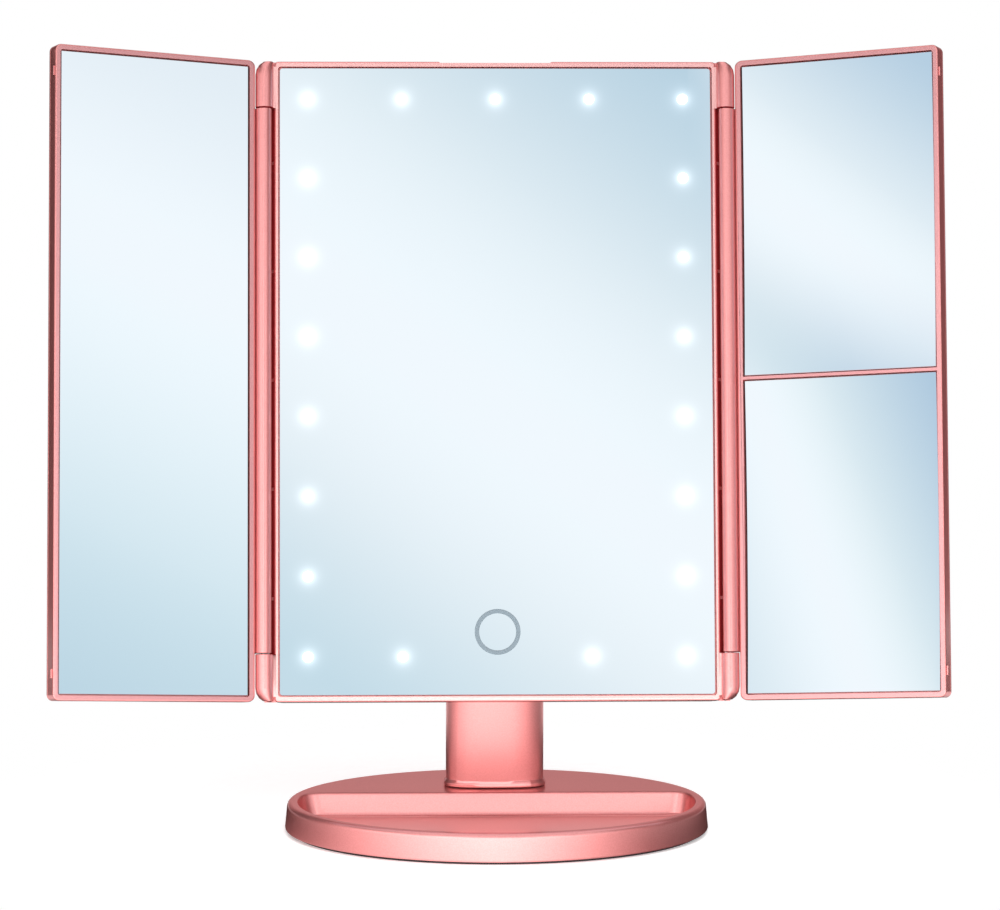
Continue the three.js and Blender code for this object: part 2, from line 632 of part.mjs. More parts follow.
function headRearCover() {
  const spanX = around(0, HEAD_HALF);
  const innerX = around(0, HEAD_HALF - COVER_WALL);
  const innerZ = [COVER_WALL, HEAD_HEIGHT - COVER_WALL];
  const bayZ = [BAY_LOW, BAY_HIGH];
  let cover = backSoftSlab(spanX, [0, HEAD_HEIGHT], HEAD_CORNER, [COVER_FRONT, HEAD_DEPTH], COVER_SOFT);
  const fieldX = around(0, BAY_HALF + FIELD_MARGIN);
  const fieldZ = around(BAY_MIDDLE, BAY_LENGTH / 2 + FIELD_MARGIN);
  cover = cover.add(backSoftSlab(fieldX, fieldZ, FIELD_MARGIN / 2, [COVER_INNER, FIELD_BACK], FIELD_SOFT));
  cover = cover.subtract(block(innerX, [COVER_FRONT - OVER, COVER_INNER], innerZ));
  cover = cover.add(block(
    around(0, BAY_HALF + BAY_WALL), [BAY_FLOOR - BAY_WALL, COVER_INNER + OVER / 2],
    around(BAY_MIDDLE, BAY_LENGTH / 2 + BAY_WALL)));
  cover = cover.subtract(block(around(0, BAY_HALF), [BAY_FLOOR, FIELD_BACK + OVER], bayZ));
  const rebate = DOOR_MARGIN + GAP;
  cover = cover.subtract(slab(
    roundedOutline(around(0, BAY_HALF + rebate), around(BAY_MIDDLE, BAY_LENGTH / 2 + rebate), GLASS_CORNER),
    [FIELD_BACK - DOOR_THICK - GAP, FIELD_BACK + OVER]));
  COVER_SCREWS.forEach(([x, z]) => {
    cover = cover.add(rodY(BOSS_RADIUS + GAP, x, [COVER_FRONT, COVER_INNER + OVER / 2], z, SMALL));
    cover = cover.subtract(rodY(SCREW_BORE, x, [COVER_FRONT - OVER, HEAD_DEPTH], z, SMALL));
    cover = cover.subtract(rodY(SCREW_HEAD_RADIUS + GAP, x, [COVER_SCREW_SEAT - GAP, HEAD_DEPTH + OVER], z, SMALL));
  });
  postPlaces().forEach(([x, z]) => {
    cover = cover.add(rodY(POST_RADIUS, x, [POWER_BOARD_BACK + GAP, COVER_INNER + OVER / 2], z, SMALL));
  });
  cover = cover.subtract(block(
    around(SOCKET_X, SOCKET_HALF_X + GAP), [COVER_INNER - OVER, HEAD_DEPTH + OVER],
    around(POWER_BOARD_Z, SOCKET_HALF_Z + GAP)));
  cover = cover.subtract(block(
    around(SWITCH_X, KNOB_HALF_X + SWITCH_TRAVEL + GAP), [COVER_INNER - OVER, HEAD_DEPTH + OVER],
    around(POWER_BOARD_Z, KNOB_HALF_Z + GAP)));
  return joined([cover, tiltLug(-1), tiltLug(1)]);
}

function postPlaces() {
  const reachX = POWER_BOARD_HALF_X - POST_RADIUS;
  const reachZ = POWER_BOARD_HALF_Z - POST_RADIUS;
  return [-1, 1].flatMap((i) => [-1, 1].map((j) => [POWER_BOARD_X + i * reachX, POWER_BOARD_Z + j * reachZ]));
}

function powerBoard() {
  return block(
    around(POWER_BOARD_X, POWER_BOARD_HALF_X), [POWER_BOARD_FRONT, POWER_BOARD_BACK],
    around(POWER_BOARD_Z, POWER_BOARD_HALF_Z));
}

// Metal socket shell, open to the back, with the contact tongue in its mouth.
function usbSocket() {
  const front = POWER_BOARD_BACK + GAP;
  const shell = block(around(SOCKET_X, SOCKET_HALF_X), [front, SOCKET_BACK], around(POWER_BOARD_Z, SOCKET_HALF_Z));
  const mouth = block(
    around(SOCKET_X, SOCKET_HALF_X - SOCKET_SHEET), [front + OVER, SOCKET_BACK + OVER],
    around(POWER_BOARD_Z, SOCKET_HALF_Z - SOCKET_SHEET));
  const tongue = block(
    around(SOCKET_X, SOCKET_TONGUE_X), [front, SOCKET_BACK - OVER],
    around(POWER_BOARD_Z, SOCKET_TONGUE_Z));
  return shell.subtract(mouth).add(tongue);
}

function switchBody() {
  const body = block(
    around(SWITCH_X, SWITCH_HALF_X), [POWER_BOARD_BACK + GAP, SWITCH_BACK],
    around(POWER_BOARD_Z, SWITCH_HALF_Z));
  const well = block(
    around(SWITCH_X, KNOB_HALF_X + SWITCH_TRAVEL + GAP), [SWITCH_BACK - SWITCH_WELL, SWITCH_BACK + OVER],
    around(POWER_BOARD_Z, KNOB_HALF_Z + GAP));
  return body.subtract(well);
}

// The knob is shown pushed to the "off" end of its slot, with a small ridged crown.
function switchKnob() {
  const x = SWITCH_X - SWITCH_TRAVEL;
  const stem = block(
    around(x, KNOB_HALF_X), [SWITCH_BACK - SWITCH_WELL + GAP, KNOB_BACK], around(POWER_BOARD_Z, KNOB_HALF_Z));
  const groove = block(
    around(x, KNOB_HALF_X / 4), [KNOB_BACK - KNOB_HALF_X / 4, KNOB_BACK + OVER],
    around(POWER_BOARD_Z, KNOB_HALF_Z + OVER));
  return stem.subtract(groove);
}

// Cells stand side by side, every second one turned over.
function battery(index) {
  const x = (index - (BATTERY_COUNT - 1) / 2) * BATTERY_STEP;
  const surface = turned([
    [0, 0],
    [BATTERY_RADIUS - GAP, 0],
    [BATTERY_RADIUS, GAP],
    [BATTERY_RADIUS, BATTERY_LENGTH - GAP],
    [BATTERY_RADIUS - GAP, BATTERY_LENGTH],
    [BATTERY_BUTTON_RADIUS, BATTERY_LENGTH],
    [BATTERY_BUTTON_RADIUS, BATTERY_LENGTH + BATTERY_BUTTON],
    [0, BATTERY_LENGTH + BATTERY_BUTTON],
  ], SMALL);
  surface.rotateX(Math.PI / 2);
  surface.translate(0, 0, -(BATTERY_LENGTH + BATTERY_BUTTON) / 2);
  if (index % 2) {
    surface.rotateX(Math.PI);
  }
  surface.translate(x, BATTERY_DEPTH, BAY_MIDDLE);
  return solidOf(surface);
}

// Sprung contact plate across one end of the bay, with a pip for each cell.
function batteryContact(top) {
  const direction = top ? -1 : 1;
  const wall = (top ? BAY_HIGH : BAY_LOW) + direction * GAP;
  const face = wall + direction * CONTACT_THICK;
  const plate = block(
    around(0, BAY_HALF - GAP), around(BATTERY_DEPTH, CONTACT_HALF_DEPTH), ordered(wall, face));
  const pips = steps(BATTERY_COUNT).map((i) => {
    const x = (i - (BATTERY_COUNT - 1) / 2) * BATTERY_STEP;
    const span = ordered(wall + direction * CONTACT_THICK / 2, face + direction * CONTACT_BUMP);
    return rodZ(BATTERY_BUTTON_RADIUS, x, BATTERY_DEPTH, span, SMALL);
  });
  return joined([plate, ...pips]);
}

function batteryDoor() {
  const depth = [FIELD_BACK - DOOR_THICK, FIELD_BACK];
  const spanZ = around(BAY_MIDDLE, BAY_LENGTH / 2 + DOOR_MARGIN);
  const plate = slab(roundedOutline(around(0, BAY_HALF + DOOR_MARGIN), spanZ, GLASS_CORNER), depth, GAP);
  const ridges = steps(GRIP_COUNT).map((i) => {
    const z = spanZ[1] - (i + 2) * GRIP_STEP;
    return block(around(0, GRIP_HALF), [FIELD_BACK - GRIP_PROUD, FIELD_BACK + GRIP_PROUD], around(z, GRIP_WIDTH / 2));
  });
  return joined([plate, ...ridges]);
}

// Wing frame in its own group: barrel on the axis, web, rim, shelf and two pips on the far side.
function wingFrame(dished) {
  const spanX = [WING_NEAR, WING_FAR];
  const pocketX = [WING_POCKET_NEAR, WING_POCKET_FAR];
  const pocketZ = [END_RIM, HEAD_HEIGHT - END_RIM];
  const shelf = dished ? DISH_SHELF : SHELF_FRONT;
  let frame = frontSoftSlab(spanX, [0, HEAD_HEIGHT], WING_CORNER, [0, WING_FRAME_DEPTH], WING_SOFT);
  frame = frame.subtract(slab(roundedOutline(pocketX, pocketZ, GLASS_CORNER), [-OVER, shelf]));
  if (dished) {
    frame = frame.add(block(
      [WING_NEAR + WING_RIM_SIDE / 2, WING_FAR - WING_RIM_SIDE / 2], [0, WING_FRAME_DEPTH],
      around(HEAD_MIDDLE, CROSSBAR_HALF)));
  } else {
    frame = frame.subtract(block(
      [WING_POCKET_NEAR + PEG_INSET, WING_POCKET_FAR - PEG_INSET], [SHELF_FRONT + WING_SHELF, WING_FRAME_DEPTH + OVER],
      [END_RIM + 2 * PEG_INSET, HEAD_HEIGHT - END_RIM - 2 * PEG_INSET]));
  }
  const barrelZ = [JOINT_LOW + GAP, JOINT_HIGH - GAP];
  frame = frame.add(rodZ(BARREL_RADIUS, 0, 0, barrelZ));
  frame = frame.add(block([BARREL_RADIUS / 2, WING_NEAR + WING_RIM_SIDE / 2], [WEB_FRONT, WEB_BACK], barrelZ));
  [false, true].forEach((top) => {
    frame = frame.subtract(pinBore(0, 0, top));
  });
  [PIP_END, HEAD_HEIGHT - PIP_END].forEach((z) => {
    frame = frame.add(block(
      [WING_FAR - WING_RIM_SIDE / 2, WING_FAR + PIP_PROUD], [PIP_FRONT, PIP_FRONT + PIP_WIDTH],
      around(z, PIP_LENGTH / 2)));
  });
  pegPlaces().forEach(([x, z]) => {
    frame = frame.subtract(rodY(PEG_RADIUS + GAP, x, [WING_FRAME_DEPTH - PEG_REACH - GAP, WING_FRAME_DEPTH + OVER], z, SMALL));
  });
  return frame;
}

function pegPlaces() {
  return [WING_NEAR + PEG_INSET, WING_FAR - PEG_INSET]
    .flatMap((x) => [[x, PEG_INSET], [x, HEAD_HEIGHT - PEG_INSET]]);
}

function wingBackCover() {
  const plate = backSoftSlab(
    [WING_NEAR, WING_FAR], [0, HEAD_HEIGHT], WING_CORNER, [WING_COVER_FRONT, WING_DEPTH], WING_SOFT);
  const pegs = pegPlaces().map(([x, z]) => (
    rodY(PEG_RADIUS, x, [WING_FRAME_DEPTH - PEG_REACH, WING_COVER_FRONT + WING_SOFT], z, SMALL)));
  return joined([plate, ...pegs]);
}

function flatWingGlass() {
  const spanX = [WING_POCKET_NEAR + GAP, WING_POCKET_FAR - GAP];
  const spanZ = [END_RIM + GAP, HEAD_HEIGHT - END_RIM - GAP];
  return slab(roundedOutline(spanX, spanZ, GLASS_CORNER), [GLASS_INSET, GLASS_BACK]);
}

// Plate of even thickness pressed into a shallow bowl, corners at the level of the flat mirrors.
function dishedGlass([z0, z1], radius) {
  const [x0, x1] = [WING_POCKET_NEAR + GAP, WING_POCKET_FAR - GAP];
  const surface = new THREE.BoxGeometry(x1 - x0, DISH_THICK, z1 - z0, DISH_ACROSS, 1, DISH_ALONG);
  const places = surface.attributes.position;
  const rise = ((x1 - x0) ** 2 + (z1 - z0) ** 2) / (8 * radius);
  steps(places.count).forEach((i) => {
    const reach = places.getX(i) ** 2 + places.getZ(i) ** 2;
    places.setY(i, places.getY(i) + rise - reach / (2 * radius));
  });
  surface.translate((x0 + x1) / 2, GLASS_INSET + DISH_THICK / 2, (z0 + z1) / 2);
  return solidOf(surface);
}

// Pivot bolt through both lugs and the column's tongue: head at one end, nut at the other.
function tiltShaft() {
  const seat = LUG_OUTER - LUG_POCKET + GAP;
  const bolt = rodX(SHAFT_RADIUS, around(0, seat + SHAFT_HEAD), PIVOT_DEPTH, PIVOT_HEIGHT);
  return bolt.add(rodX(SHAFT_HEAD_RADIUS, [-seat - SHAFT_HEAD, -seat], PIVOT_DEPTH, PIVOT_HEIGHT));
}

function tiltNut() {
  const seat = LUG_OUTER - LUG_POCKET + GAP;
  return rodX(SHAFT_HEAD_RADIUS, [seat, seat + SHAFT_HEAD], PIVOT_DEPTH, PIVOT_HEIGHT, HEX)
    .subtract(rodX(SHAFT_RADIUS + GAP, [seat - OVER, seat + SHAFT_HEAD + OVER], PIVOT_DEPTH, PIVOT_HEIGHT));
}

function tiltWasher(side) {
  const span = outward(side, TONGUE_HALF + GAP, LUG_INNER - GAP);
  return rodX(WASHER_RADIUS, span, PIVOT_DEPTH, PIVOT_HEIGHT)
    .subtract(rodX(SHAFT_RADIUS + GAP, around(0, LUG_OUTER), PIVOT_DEPTH, PIVOT_HEIGHT));
}

function tiltCap(side) {
  const span = outward(side, LUG_OUTER - CAP_THICK, LUG_OUTER);
  return rodX(SHAFT_HEAD_RADIUS, span, PIVOT_DEPTH, PIVOT_HEIGHT);
}

// Level ring of the column: a rectangle with full round sides, grown by proud.
function neckRing(proud, z) {
  return steps(FINE).map((i) => {
    const angle = (i / FINE) * 2 * Math.PI;
    const [c, s] = [Math.cos(angle), Math.sin(angle)];
    return new THREE.Vector3(
      (NECK_HALF_X + proud) * Math.sign(c) * Math.abs(c) ** (2 / NECK_POWER),
      PIVOT_Y + (NECK_HALF_Y + proud) * Math.sign(s) * Math.abs(s) ** (2 / NECK_POWER),
      z);
  });
}

// Hollow column with a foot flange, two screw bosses inside and a round tongue for the shaft.
function neckColumn() {
  const flangeTop = NECK_FOOT + FLANGE_HEIGHT;
  let neck = stack([
    neckRing(FLANGE_PROUD - GAP, NECK_FOOT),
    neckRing(FLANGE_PROUD, NECK_FOOT + GAP),
    neckRing(FLANGE_PROUD, flangeTop),
    neckRing(0, flangeTop + FLANGE_SLOPE),
    neckRing(0, PIVOT_Z),
  ]);
  const section = stack([neckRing(0, NECK_SHOULDER), neckRing(0, PIVOT_Z + TONGUE_RADIUS + OVER)]);
  neck = neck.add(rodX(TONGUE_RADIUS, around(0, TONGUE_HALF), PIVOT_Y, PIVOT_Z).intersect(section));
  let hollow = stack([
    neckRing(-NECK_WALL, NECK_FOOT - OVER),
    neckRing(-NECK_WALL, NECK_SHOULDER - NECK_ROOF),
  ]);
  [-1, 1].forEach((side) => {
    const outer = outward(side, TONGUE_HALF, NECK_HALF_X + OVER);
    neck = neck.subtract(block(outer, around(PIVOT_Y, NECK_HALF_Y + OVER), [NECK_SHOULDER, PIVOT_Z + OVER]));
    hollow = hollow.subtract(block(
      around(side * NECK_SCREW_X, NECK_BOSS_RADIUS), around(PIVOT_Y, NECK_HALF_Y),
      [NECK_FOOT - 2 * OVER, NECK_FOOT + NECK_BOSS_HEIGHT]));
    neck = neck.subtract(rodZ(
      SCREW_BORE, side * NECK_SCREW_X, PIVOT_Y, [NECK_FOOT - OVER, NECK_FOOT + NECK_BOSS_HEIGHT - OVER], SMALL));
  });
  neck = neck.subtract(hollow);
  return neck.subtract(rodX(SHAFT_RADIUS + GAP, around(0, NECK_HALF_X), PIVOT_Y, PIVOT_Z));
}

function ovalRing(inset, z) {
  return steps(OVAL).map((i) => {
    const angle = (i / OVAL) * 2 * Math.PI;
    return new THREE.Vector3((BASE_HALF_X - inset) * Math.cos(angle), (BASE_HALF_Y - inset) * Math.sin(angle), z);
  });
}

// Part of an oval behind the tray, from low to high.
function rearOval(inset, [low, high], front) {
  const oval = stack([ovalRing(inset, low), ovalRing(inset, high)]);
  return oval.intersect(block(around(0, BASE_HALF_X), [front, BASE_HALF_Y], [low, high]));
}

// Level ring of the tray: the oval rim in front, a straight back, rounded corners.
function trayRing(inset, z) {
  const a = BASE_HALF_X - TRAY_RIM - inset;
  const b = BASE_HALF_Y - TRAY_RIM - inset;
  const back = TRAY_BACK - inset;
  const cornerAngle = Math.asin(back / b);
  const corner = [a * Math.cos(cornerAngle), back];
  const speed = Math.hypot(a * Math.sin(cornerAngle), b * Math.cos(cornerAngle));
  const startAngle = cornerAngle - TRAY_CORNER / speed;
  const arcStart = [a * Math.cos(startAngle), b * Math.sin(startAngle)];
  const bend = steps(TRAY_CORNER_STEPS).map((i) => {
    const t = i / TRAY_CORNER_STEPS;
    const mix = (k) => (1 - t) ** 2 * arcStart[k] + 2 * t * (1 - t) * corner[k]
      + t ** 2 * [corner[0] - TRAY_CORNER, back][k];
    return [mix(0), mix(1)];
  });
  const backEnd = [corner[0] - TRAY_CORNER, back];
  const arc = steps(FINE).slice(1).map((i) => {
    const angle = -Math.PI - startAngle + (i / FINE) * (Math.PI + 2 * startAngle);
    return [a * Math.cos(angle), b * Math.sin(angle)];
  });
  const right = [...bend, backEnd];
  const left = right.map(([x, y]) => [-x, y]).reverse();
  return [...right, ...left, ...arc].map(([x, y]) => new THREE.Vector3(x, y, z));
}

function trayHollow() {
  const edge = quarter(EDGE_STEPS).map((angle) => (
    trayRing(-TRAY_EDGE * (1 - Math.sin(angle)), BASE_TOP - TRAY_EDGE * (1 - Math.cos(angle)))));
  const fillet = quarter(SOFT_STEPS).map((angle) => (
    trayRing(TRAY_DRAFT + TRAY_FILLET * (1 - Math.cos(angle)), TRAY_FLOOR + TRAY_FILLET * (1 - Math.sin(angle)))));
  return stack([trayRing(-TRAY_EDGE, BASE_TOP + OVER), ...edge, ...fillet].reverse());
}

function basePlaces() {
  const [frontX, frontY] = [BASE_HALF_X - FRONT_BOSS_SIDE, CAVITY_FRONT + FRONT_BOSS_INSET];
  const [backX, backY] = [BASE_HALF_X - BACK_BOSS_SIDE, BASE_HALF_Y - BACK_BOSS_INSET];
  return [[-frontX, frontY], [frontX, frontY], [-backX, backY], [backX, backY]];
}

function baseTopShell() {
  const rim = quarter(SOFT_STEPS + 1).map((angle) => ovalRing(
    BASE_TAPER + BASE_EDGE * (1 - Math.cos(angle)), BASE_TOP - BASE_EDGE * (1 - Math.sin(angle))));
  let shell = stack([ovalRing(BASE_FOOT_EDGE, BASE_FOOT), ovalRing(0, BASE_FOOT + BASE_FOOT_EDGE), ...rim]);
  shell = shell.subtract(trayHollow());
  shell = shell.subtract(rearOval(BASE_WALL, [BASE_FOOT - OVER, ROOF_UNDER], CAVITY_FRONT));
  shell = shell.subtract(rearOval(PAN_REBATE, [BASE_FOOT - OVER, PAN_TOP + GAP], CAVITY_FRONT - PAN_REBATE));
  basePlaces().forEach(([x, y]) => {
    shell = shell.add(rodZ(BOSS_RADIUS, x, y, [PAN_TOP + GAP, ROOF_UNDER + OVER / 2], SMALL));
    shell = shell.subtract(rodZ(SCREW_BORE, x, y, [PAN_TOP, ROOF_UNDER], SMALL));
  });
  [-1, 1].forEach((side) => {
    shell = shell.subtract(rodZ(SCREW_BORE, side * NECK_SCREW_X, PIVOT_Y, [ROOF_UNDER - OVER, BASE_TOP + OVER], SMALL));
  });
  return shell;
}

function baseBottomCover() {
  let pan = rearOval(PAN_REBATE + GAP, [BASE_FOOT, PAN_TOP], CAVITY_FRONT - PAN_REBATE + GAP);
  basePlaces().forEach(([x, y]) => {
    pan = pan.subtract(rodZ(SCREW_BORE, x, y, [BASE_FOOT - OVER, PAN_TOP + OVER], SMALL));
    pan = pan.subtract(rodZ(SCREW_HEAD_RADIUS + GAP, x, y, [BASE_FOOT - OVER, PAN_TOP - PAN_WEB], SMALL));
  });
  return pan;
}

// Steel weight lying on the bottom cover, pierced for the screw bosses.
function ballastPlate() {
  const low = PAN_TOP + GAP;
  let weight = rearOval(BASE_WALL + WEIGHT_MARGIN, [low, low + WEIGHT_THICK], CAVITY_FRONT + WEIGHT_MARGIN);
  basePlaces().forEach(([x, y]) => {
    weight = weight.subtract(rodZ(BOSS_RADIUS + 2 * GAP, x, y, [low - OVER, low + WEIGHT_THICK + OVER], SMALL));
  });
  return weight;
}

function antiSlipPad() {
  return stack([ovalRing(PAD_INSET, 0), ovalRing(PAD_INSET, PAD_THICK)]);
}

// Assembly.
const mirror = new THREE.Group();
const head = new THREE.Group();
head.position.set(0, HEAD_FOOT_Y, HEAD_FOOT_Z);
head.rotation.x = -HEAD_TILT;
mirror.add(head);

function wingGroup(side) {
  const group = new THREE.Group();
  group.position.set(side * AXIS_X, -AXIS_FORWARD, 0);
  group.rotation.z = -side * WING_SWING;
  head.add(group);
  return group;
}

const leftWing = wingGroup(-1);
const rightWing = wingGroup(1);

function place(group, name, solid, material, mirrored = false) {
  const mesh = new THREE.Mesh(surfaceOf(solid, mirrored), material);
  mesh.name = name;
  group.add(mesh);
  return mesh;
}

place(head, 'head_front_frame', headFrontFrame(), PAINT);
place(head, 'head_rear_cover', headRearCover(), PAINT);
place(head, 'centre_mirror_glass', centreGlass(), MIRROR);
place(head, 'light_strip_left', lightStrip(LIGHTS.left), CIRCUIT);
place(head, 'light_strip_right', lightStrip(LIGHTS.right), CIRCUIT);
place(head, 'light_strip_top', lightStrip(LIGHTS.top), CIRCUIT);
place(head, 'touch_light_board', touchBoard(), CIRCUIT);
place(head, 'power_board', powerBoard(), GREEN_CIRCUIT);
place(head, 'usb_socket', usbSocket(), STEEL);
place(head, 'power_switch_body', switchBody(), BLACK);
place(head, 'power_switch_knob', switchKnob(), BLACK);
place(head, 'battery_contact_lower', batteryContact(false), STEEL);
place(head, 'battery_contact_upper', batteryContact(true), STEEL);
place(head, 'battery_door', batteryDoor(), PAINT);
steps(BATTERY_COUNT).forEach((i) => place(head, `battery_cell_${i + 1}`, battery(i), CELL));
[['left', -1], ['right', 1]].forEach(([label, side]) => {
  [['lower', false], ['upper', true]].forEach(([level, top]) => {
    const pin = rodZ(PIN_RADIUS, side * AXIS_X, -AXIS_FORWARD, pinSpan(top), SMALL);
    place(head, `hinge_pin_${label}_${level}`, pin, STEEL);
  });
  place(head, `tilt_cap_${label}`, tiltCap(side), PAINT);
  place(head, `tilt_washer_${label}`, tiltWasher(side), NYLON);
});
place(head, 'tilt_shaft', tiltShaft(), STEEL);
place(head, 'tilt_nut', tiltNut(), BRASS);
COVER_SCREWS.forEach(([x, z], i) => {
  const mesh = place(head, `cover_screw_${i + 1}`, screw(SCREW_LENGTH), STEEL);
  mesh.position.set(x, COVER_SCREW_SEAT + SCREW_HEAD_HEIGHT, z);
  mesh.rotation.x = Math.PI / 2;
});

place(leftWing, 'left_wing_frame', wingFrame(false), PAINT, true);
place(leftWing, 'left_wing_back_cover', wingBackCover(), PAINT, true);
place(leftWing, 'left_wing_glass', flatWingGlass(), MIRROR, true);
place(rightWing, 'right_wing_frame', wingFrame(true), PAINT);
place(rightWing, 'right_wing_back_cover', wingBackCover(), PAINT);
const lowerPlate = [END_RIM + GAP, HEAD_MIDDLE - CROSSBAR_HALF - GAP];
const upperPlate = [HEAD_MIDDLE + CROSSBAR_HALF + GAP, HEAD_HEIGHT - END_RIM - GAP];
place(rightWing, 'right_wing_lower_glass', dishedGlass(lowerPlate, LOWER_DISH_RADIUS), MIRROR);
place(rightWing, 'right_wing_upper_glass', dishedGlass(upperPlate, UPPER_DISH_RADIUS), MIRROR);

place(mirror, 'neck_column', neckColumn(), PAINT);
place(mirror, 'base_top_shell', baseTopShell(), PAINT);
place(mirror, 'base_bottom_cover', baseBottomCover(), WHITE);
place(mirror, 'ballast_plate', ballastPlate(), STEEL);
place(mirror, 'anti_slip_pad', antiSlipPad(), RUBBER);
[-1, 1].forEach((side, i) => {
  const mesh = place(mirror, `neck_screw_${i + 1}`, screw(SCREW_LENGTH), STEEL);
  mesh.position.set(side * NECK_SCREW_X, PIVOT_Y, ROOF_UNDER - GAP - SCREW_HEAD_HEIGHT);
});
basePlaces().forEach(([x, y], i) => {
  const mesh = place(mirror, `base_screw_${i + 1}`, screw(BASE_SCREW_LENGTH), STEEL);
  mesh.position.set(x, y, BASE_FOOT);
});

export default mirror;
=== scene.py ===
import json
import math

import bmesh
import bpy
from mathutils import Matrix, Vector


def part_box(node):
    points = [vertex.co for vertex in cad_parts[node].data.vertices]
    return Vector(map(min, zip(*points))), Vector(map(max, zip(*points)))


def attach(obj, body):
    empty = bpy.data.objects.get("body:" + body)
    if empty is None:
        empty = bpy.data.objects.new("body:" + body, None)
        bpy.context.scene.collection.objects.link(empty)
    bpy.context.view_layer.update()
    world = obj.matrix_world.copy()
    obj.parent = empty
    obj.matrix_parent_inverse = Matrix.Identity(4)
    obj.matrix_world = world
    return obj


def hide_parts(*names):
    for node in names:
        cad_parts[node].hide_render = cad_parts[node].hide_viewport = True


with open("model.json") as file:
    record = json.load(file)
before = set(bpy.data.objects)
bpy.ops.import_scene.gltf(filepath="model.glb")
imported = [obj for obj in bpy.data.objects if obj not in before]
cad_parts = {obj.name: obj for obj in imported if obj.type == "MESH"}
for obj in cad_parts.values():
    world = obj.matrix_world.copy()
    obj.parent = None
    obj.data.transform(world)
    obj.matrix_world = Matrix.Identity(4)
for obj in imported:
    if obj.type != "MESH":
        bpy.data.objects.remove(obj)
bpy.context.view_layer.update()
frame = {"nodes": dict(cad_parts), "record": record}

MM = 0.001

# Pose shown in the photo: the head leans back, and its foot sits here.
HEAD_TILT = math.radians(12.2)
HEAD_FOOT = Vector((0, -13, 52.5)) * MM
HEAD = Matrix.Translation(HEAD_FOOT) @ Matrix.Rotation(-HEAD_TILT, 4, "X")

# Mirror plates, in the head's own axes: X across, Y backwards, Z up the panel.
GLASS_HALF = 82.25 * MM
GLASS_FOOT = 2.45 * MM
GLASS_TOP = 241.45 * MM
GLASS_FRONT = 0.6 * MM
GLASS_BACK = 2.6 * MM
GLASS_CORNER = 1.0 * MM
CORNER_STEPS = 6
ARRIS_WIDTH = 0.15 * MM
ARRIS_DEPTH = 0.15 * MM

# Lights behind the centre mirror: eight in each column, three more above and two more below.
LIGHT_ROWS = 8
LIGHT_COLUMN = 71.5 * MM
LIGHT_LOW = 16.9 * MM
LIGHT_RISE = 30.3714 * MM
LIGHT_STEP = LIGHT_COLUMN / 2
WINDOW_RADIUS = 2.0 * MM
ETCH_DEPTH = 0.12 * MM

# Painted glow on the glass round each window, for the light that the glass scatters there: its strength at the
# rim of a window, and how far it takes to fade.
GLOW_EDGE = 0.4
GLOW_FADE = 1.45 * MM

# Touch ring.
TOUCH_HEIGHT = 26.2 * MM
TOUCH_OUTER = 8.65 * MM
TOUCH_INNER = 7.0 * MM

# Wings: each swings on an axis beside the head, and its plates lie between these distances from it.
WING_SWING = math.radians(26)
AXIS_ASIDE = 88.0 * MM
AXIS_AHEAD = 0.4 * MM
WING_GLASS_NEAR = 6.45 * MM
WING_GLASS_FAR = 82.55 * MM
WING_SPAN = (WING_GLASS_NEAR, WING_GLASS_FAR)
WHOLE_PLATE = (GLASS_FOOT, GLASS_TOP)
UPPER_PLATE = (122.95 * MM, GLASS_TOP)
LOWER_PLATE = (GLASS_FOOT, 120.95 * MM)
DISH_THICK = 1.6 * MM
UPPER_DISH = 2.4
LOWER_DISH = 1.6
DISH_CELLS = (24, 36)

# Hinges: knuckles of the frame above and below each wing's barrel, with their tips drawn in to the frame.
HEAD_HEIGHT = 243.9 * MM
FRAME_HALF = 84.1 * MM
BARREL_RADIUS = 3.4 * MM
BARREL_INNER = 2.8 * MM
KNUCKLE_LENGTH = 18 * MM
RIB_CLEAR = 0.38 * MM
TIP_HEIGHT = 5.3 * MM
TIP_LEAN = 1.1 * MM
TIP_ROUND = 4.8 * MM
TIP_DEPTH_SHARE = 0.85
END_CHAMFER = 0.2 * MM

# Near rim of a wing: its edge comes closer to the knuckles, and from the second distance on it stays.
RIM_NEAR = 4.0 * MM
RIM_STAYS = 5.4 * MM
RIM_CLOSER = 0.35 * MM

# Base: the tray's floor lies lower than this, and looks up at least this much.
TRAY_FLOOR_TOP = 3.2 * MM
TRAY_FLOOR_LEVEL = 0.6

# Rounded edges: the radius on the frames and the wings' backs, on the rear cover and the column, and on
# the base; then the facets across an edge, and how much the flat faces count in the shading.
FRAME_EDGE = 0.15 * MM
COVER_EDGE = 0.2 * MM
BASE_EDGE = 0.4 * MM
EDGE_FACETS = 2
FLAT_WEIGHT = 80

# How the solids are read: corners this near each other are one, facets within this many degrees are
# one face, and edges sharper than this are rounded, or chamfered at the ends of knuckles and barrels.
WELD = 0.002 * MM
FACET_ANGLE = 0.4
COLUMN_FACET_ANGLE = 0.05
EDGE_ANGLE = math.radians(32)
END_ANGLE = math.radians(60)

# A face looks along an axis from this cosine on, and a point this near to a surface, a knuckle's tip or
# the joint at its end still counts as on it; the slacks are shares of a tip's height and a rim's width.
FACING = 0.99
CLOSE = 0.05 * MM
TIP_CLOSE = 0.02 * MM
JOINT_CLOSE = 0.1 * MM
TIP_SLACK = 0.0001
RIM_SLACK = 0.01

# Which of its finishes a face has, counted from nought. A housing has its main one, one for its gaps in
# painted shade or its tray floor in painted light, and one for its flat rim, paler as painted light on the
# head and dimmer as painted shade on the wings; a mirror plate has its main one and these.
MAIN, INNER, RIM = range(3)
GROUND, WINDOW, RING, BRIGHT = range(1, 5)

# Angles round a window, the touch ring, a table sheet or the light tent.
ROUND_SIDES = 64
TURNS = [2 * math.pi * i / ROUND_SIDES for i in range(ROUND_SIDES)]

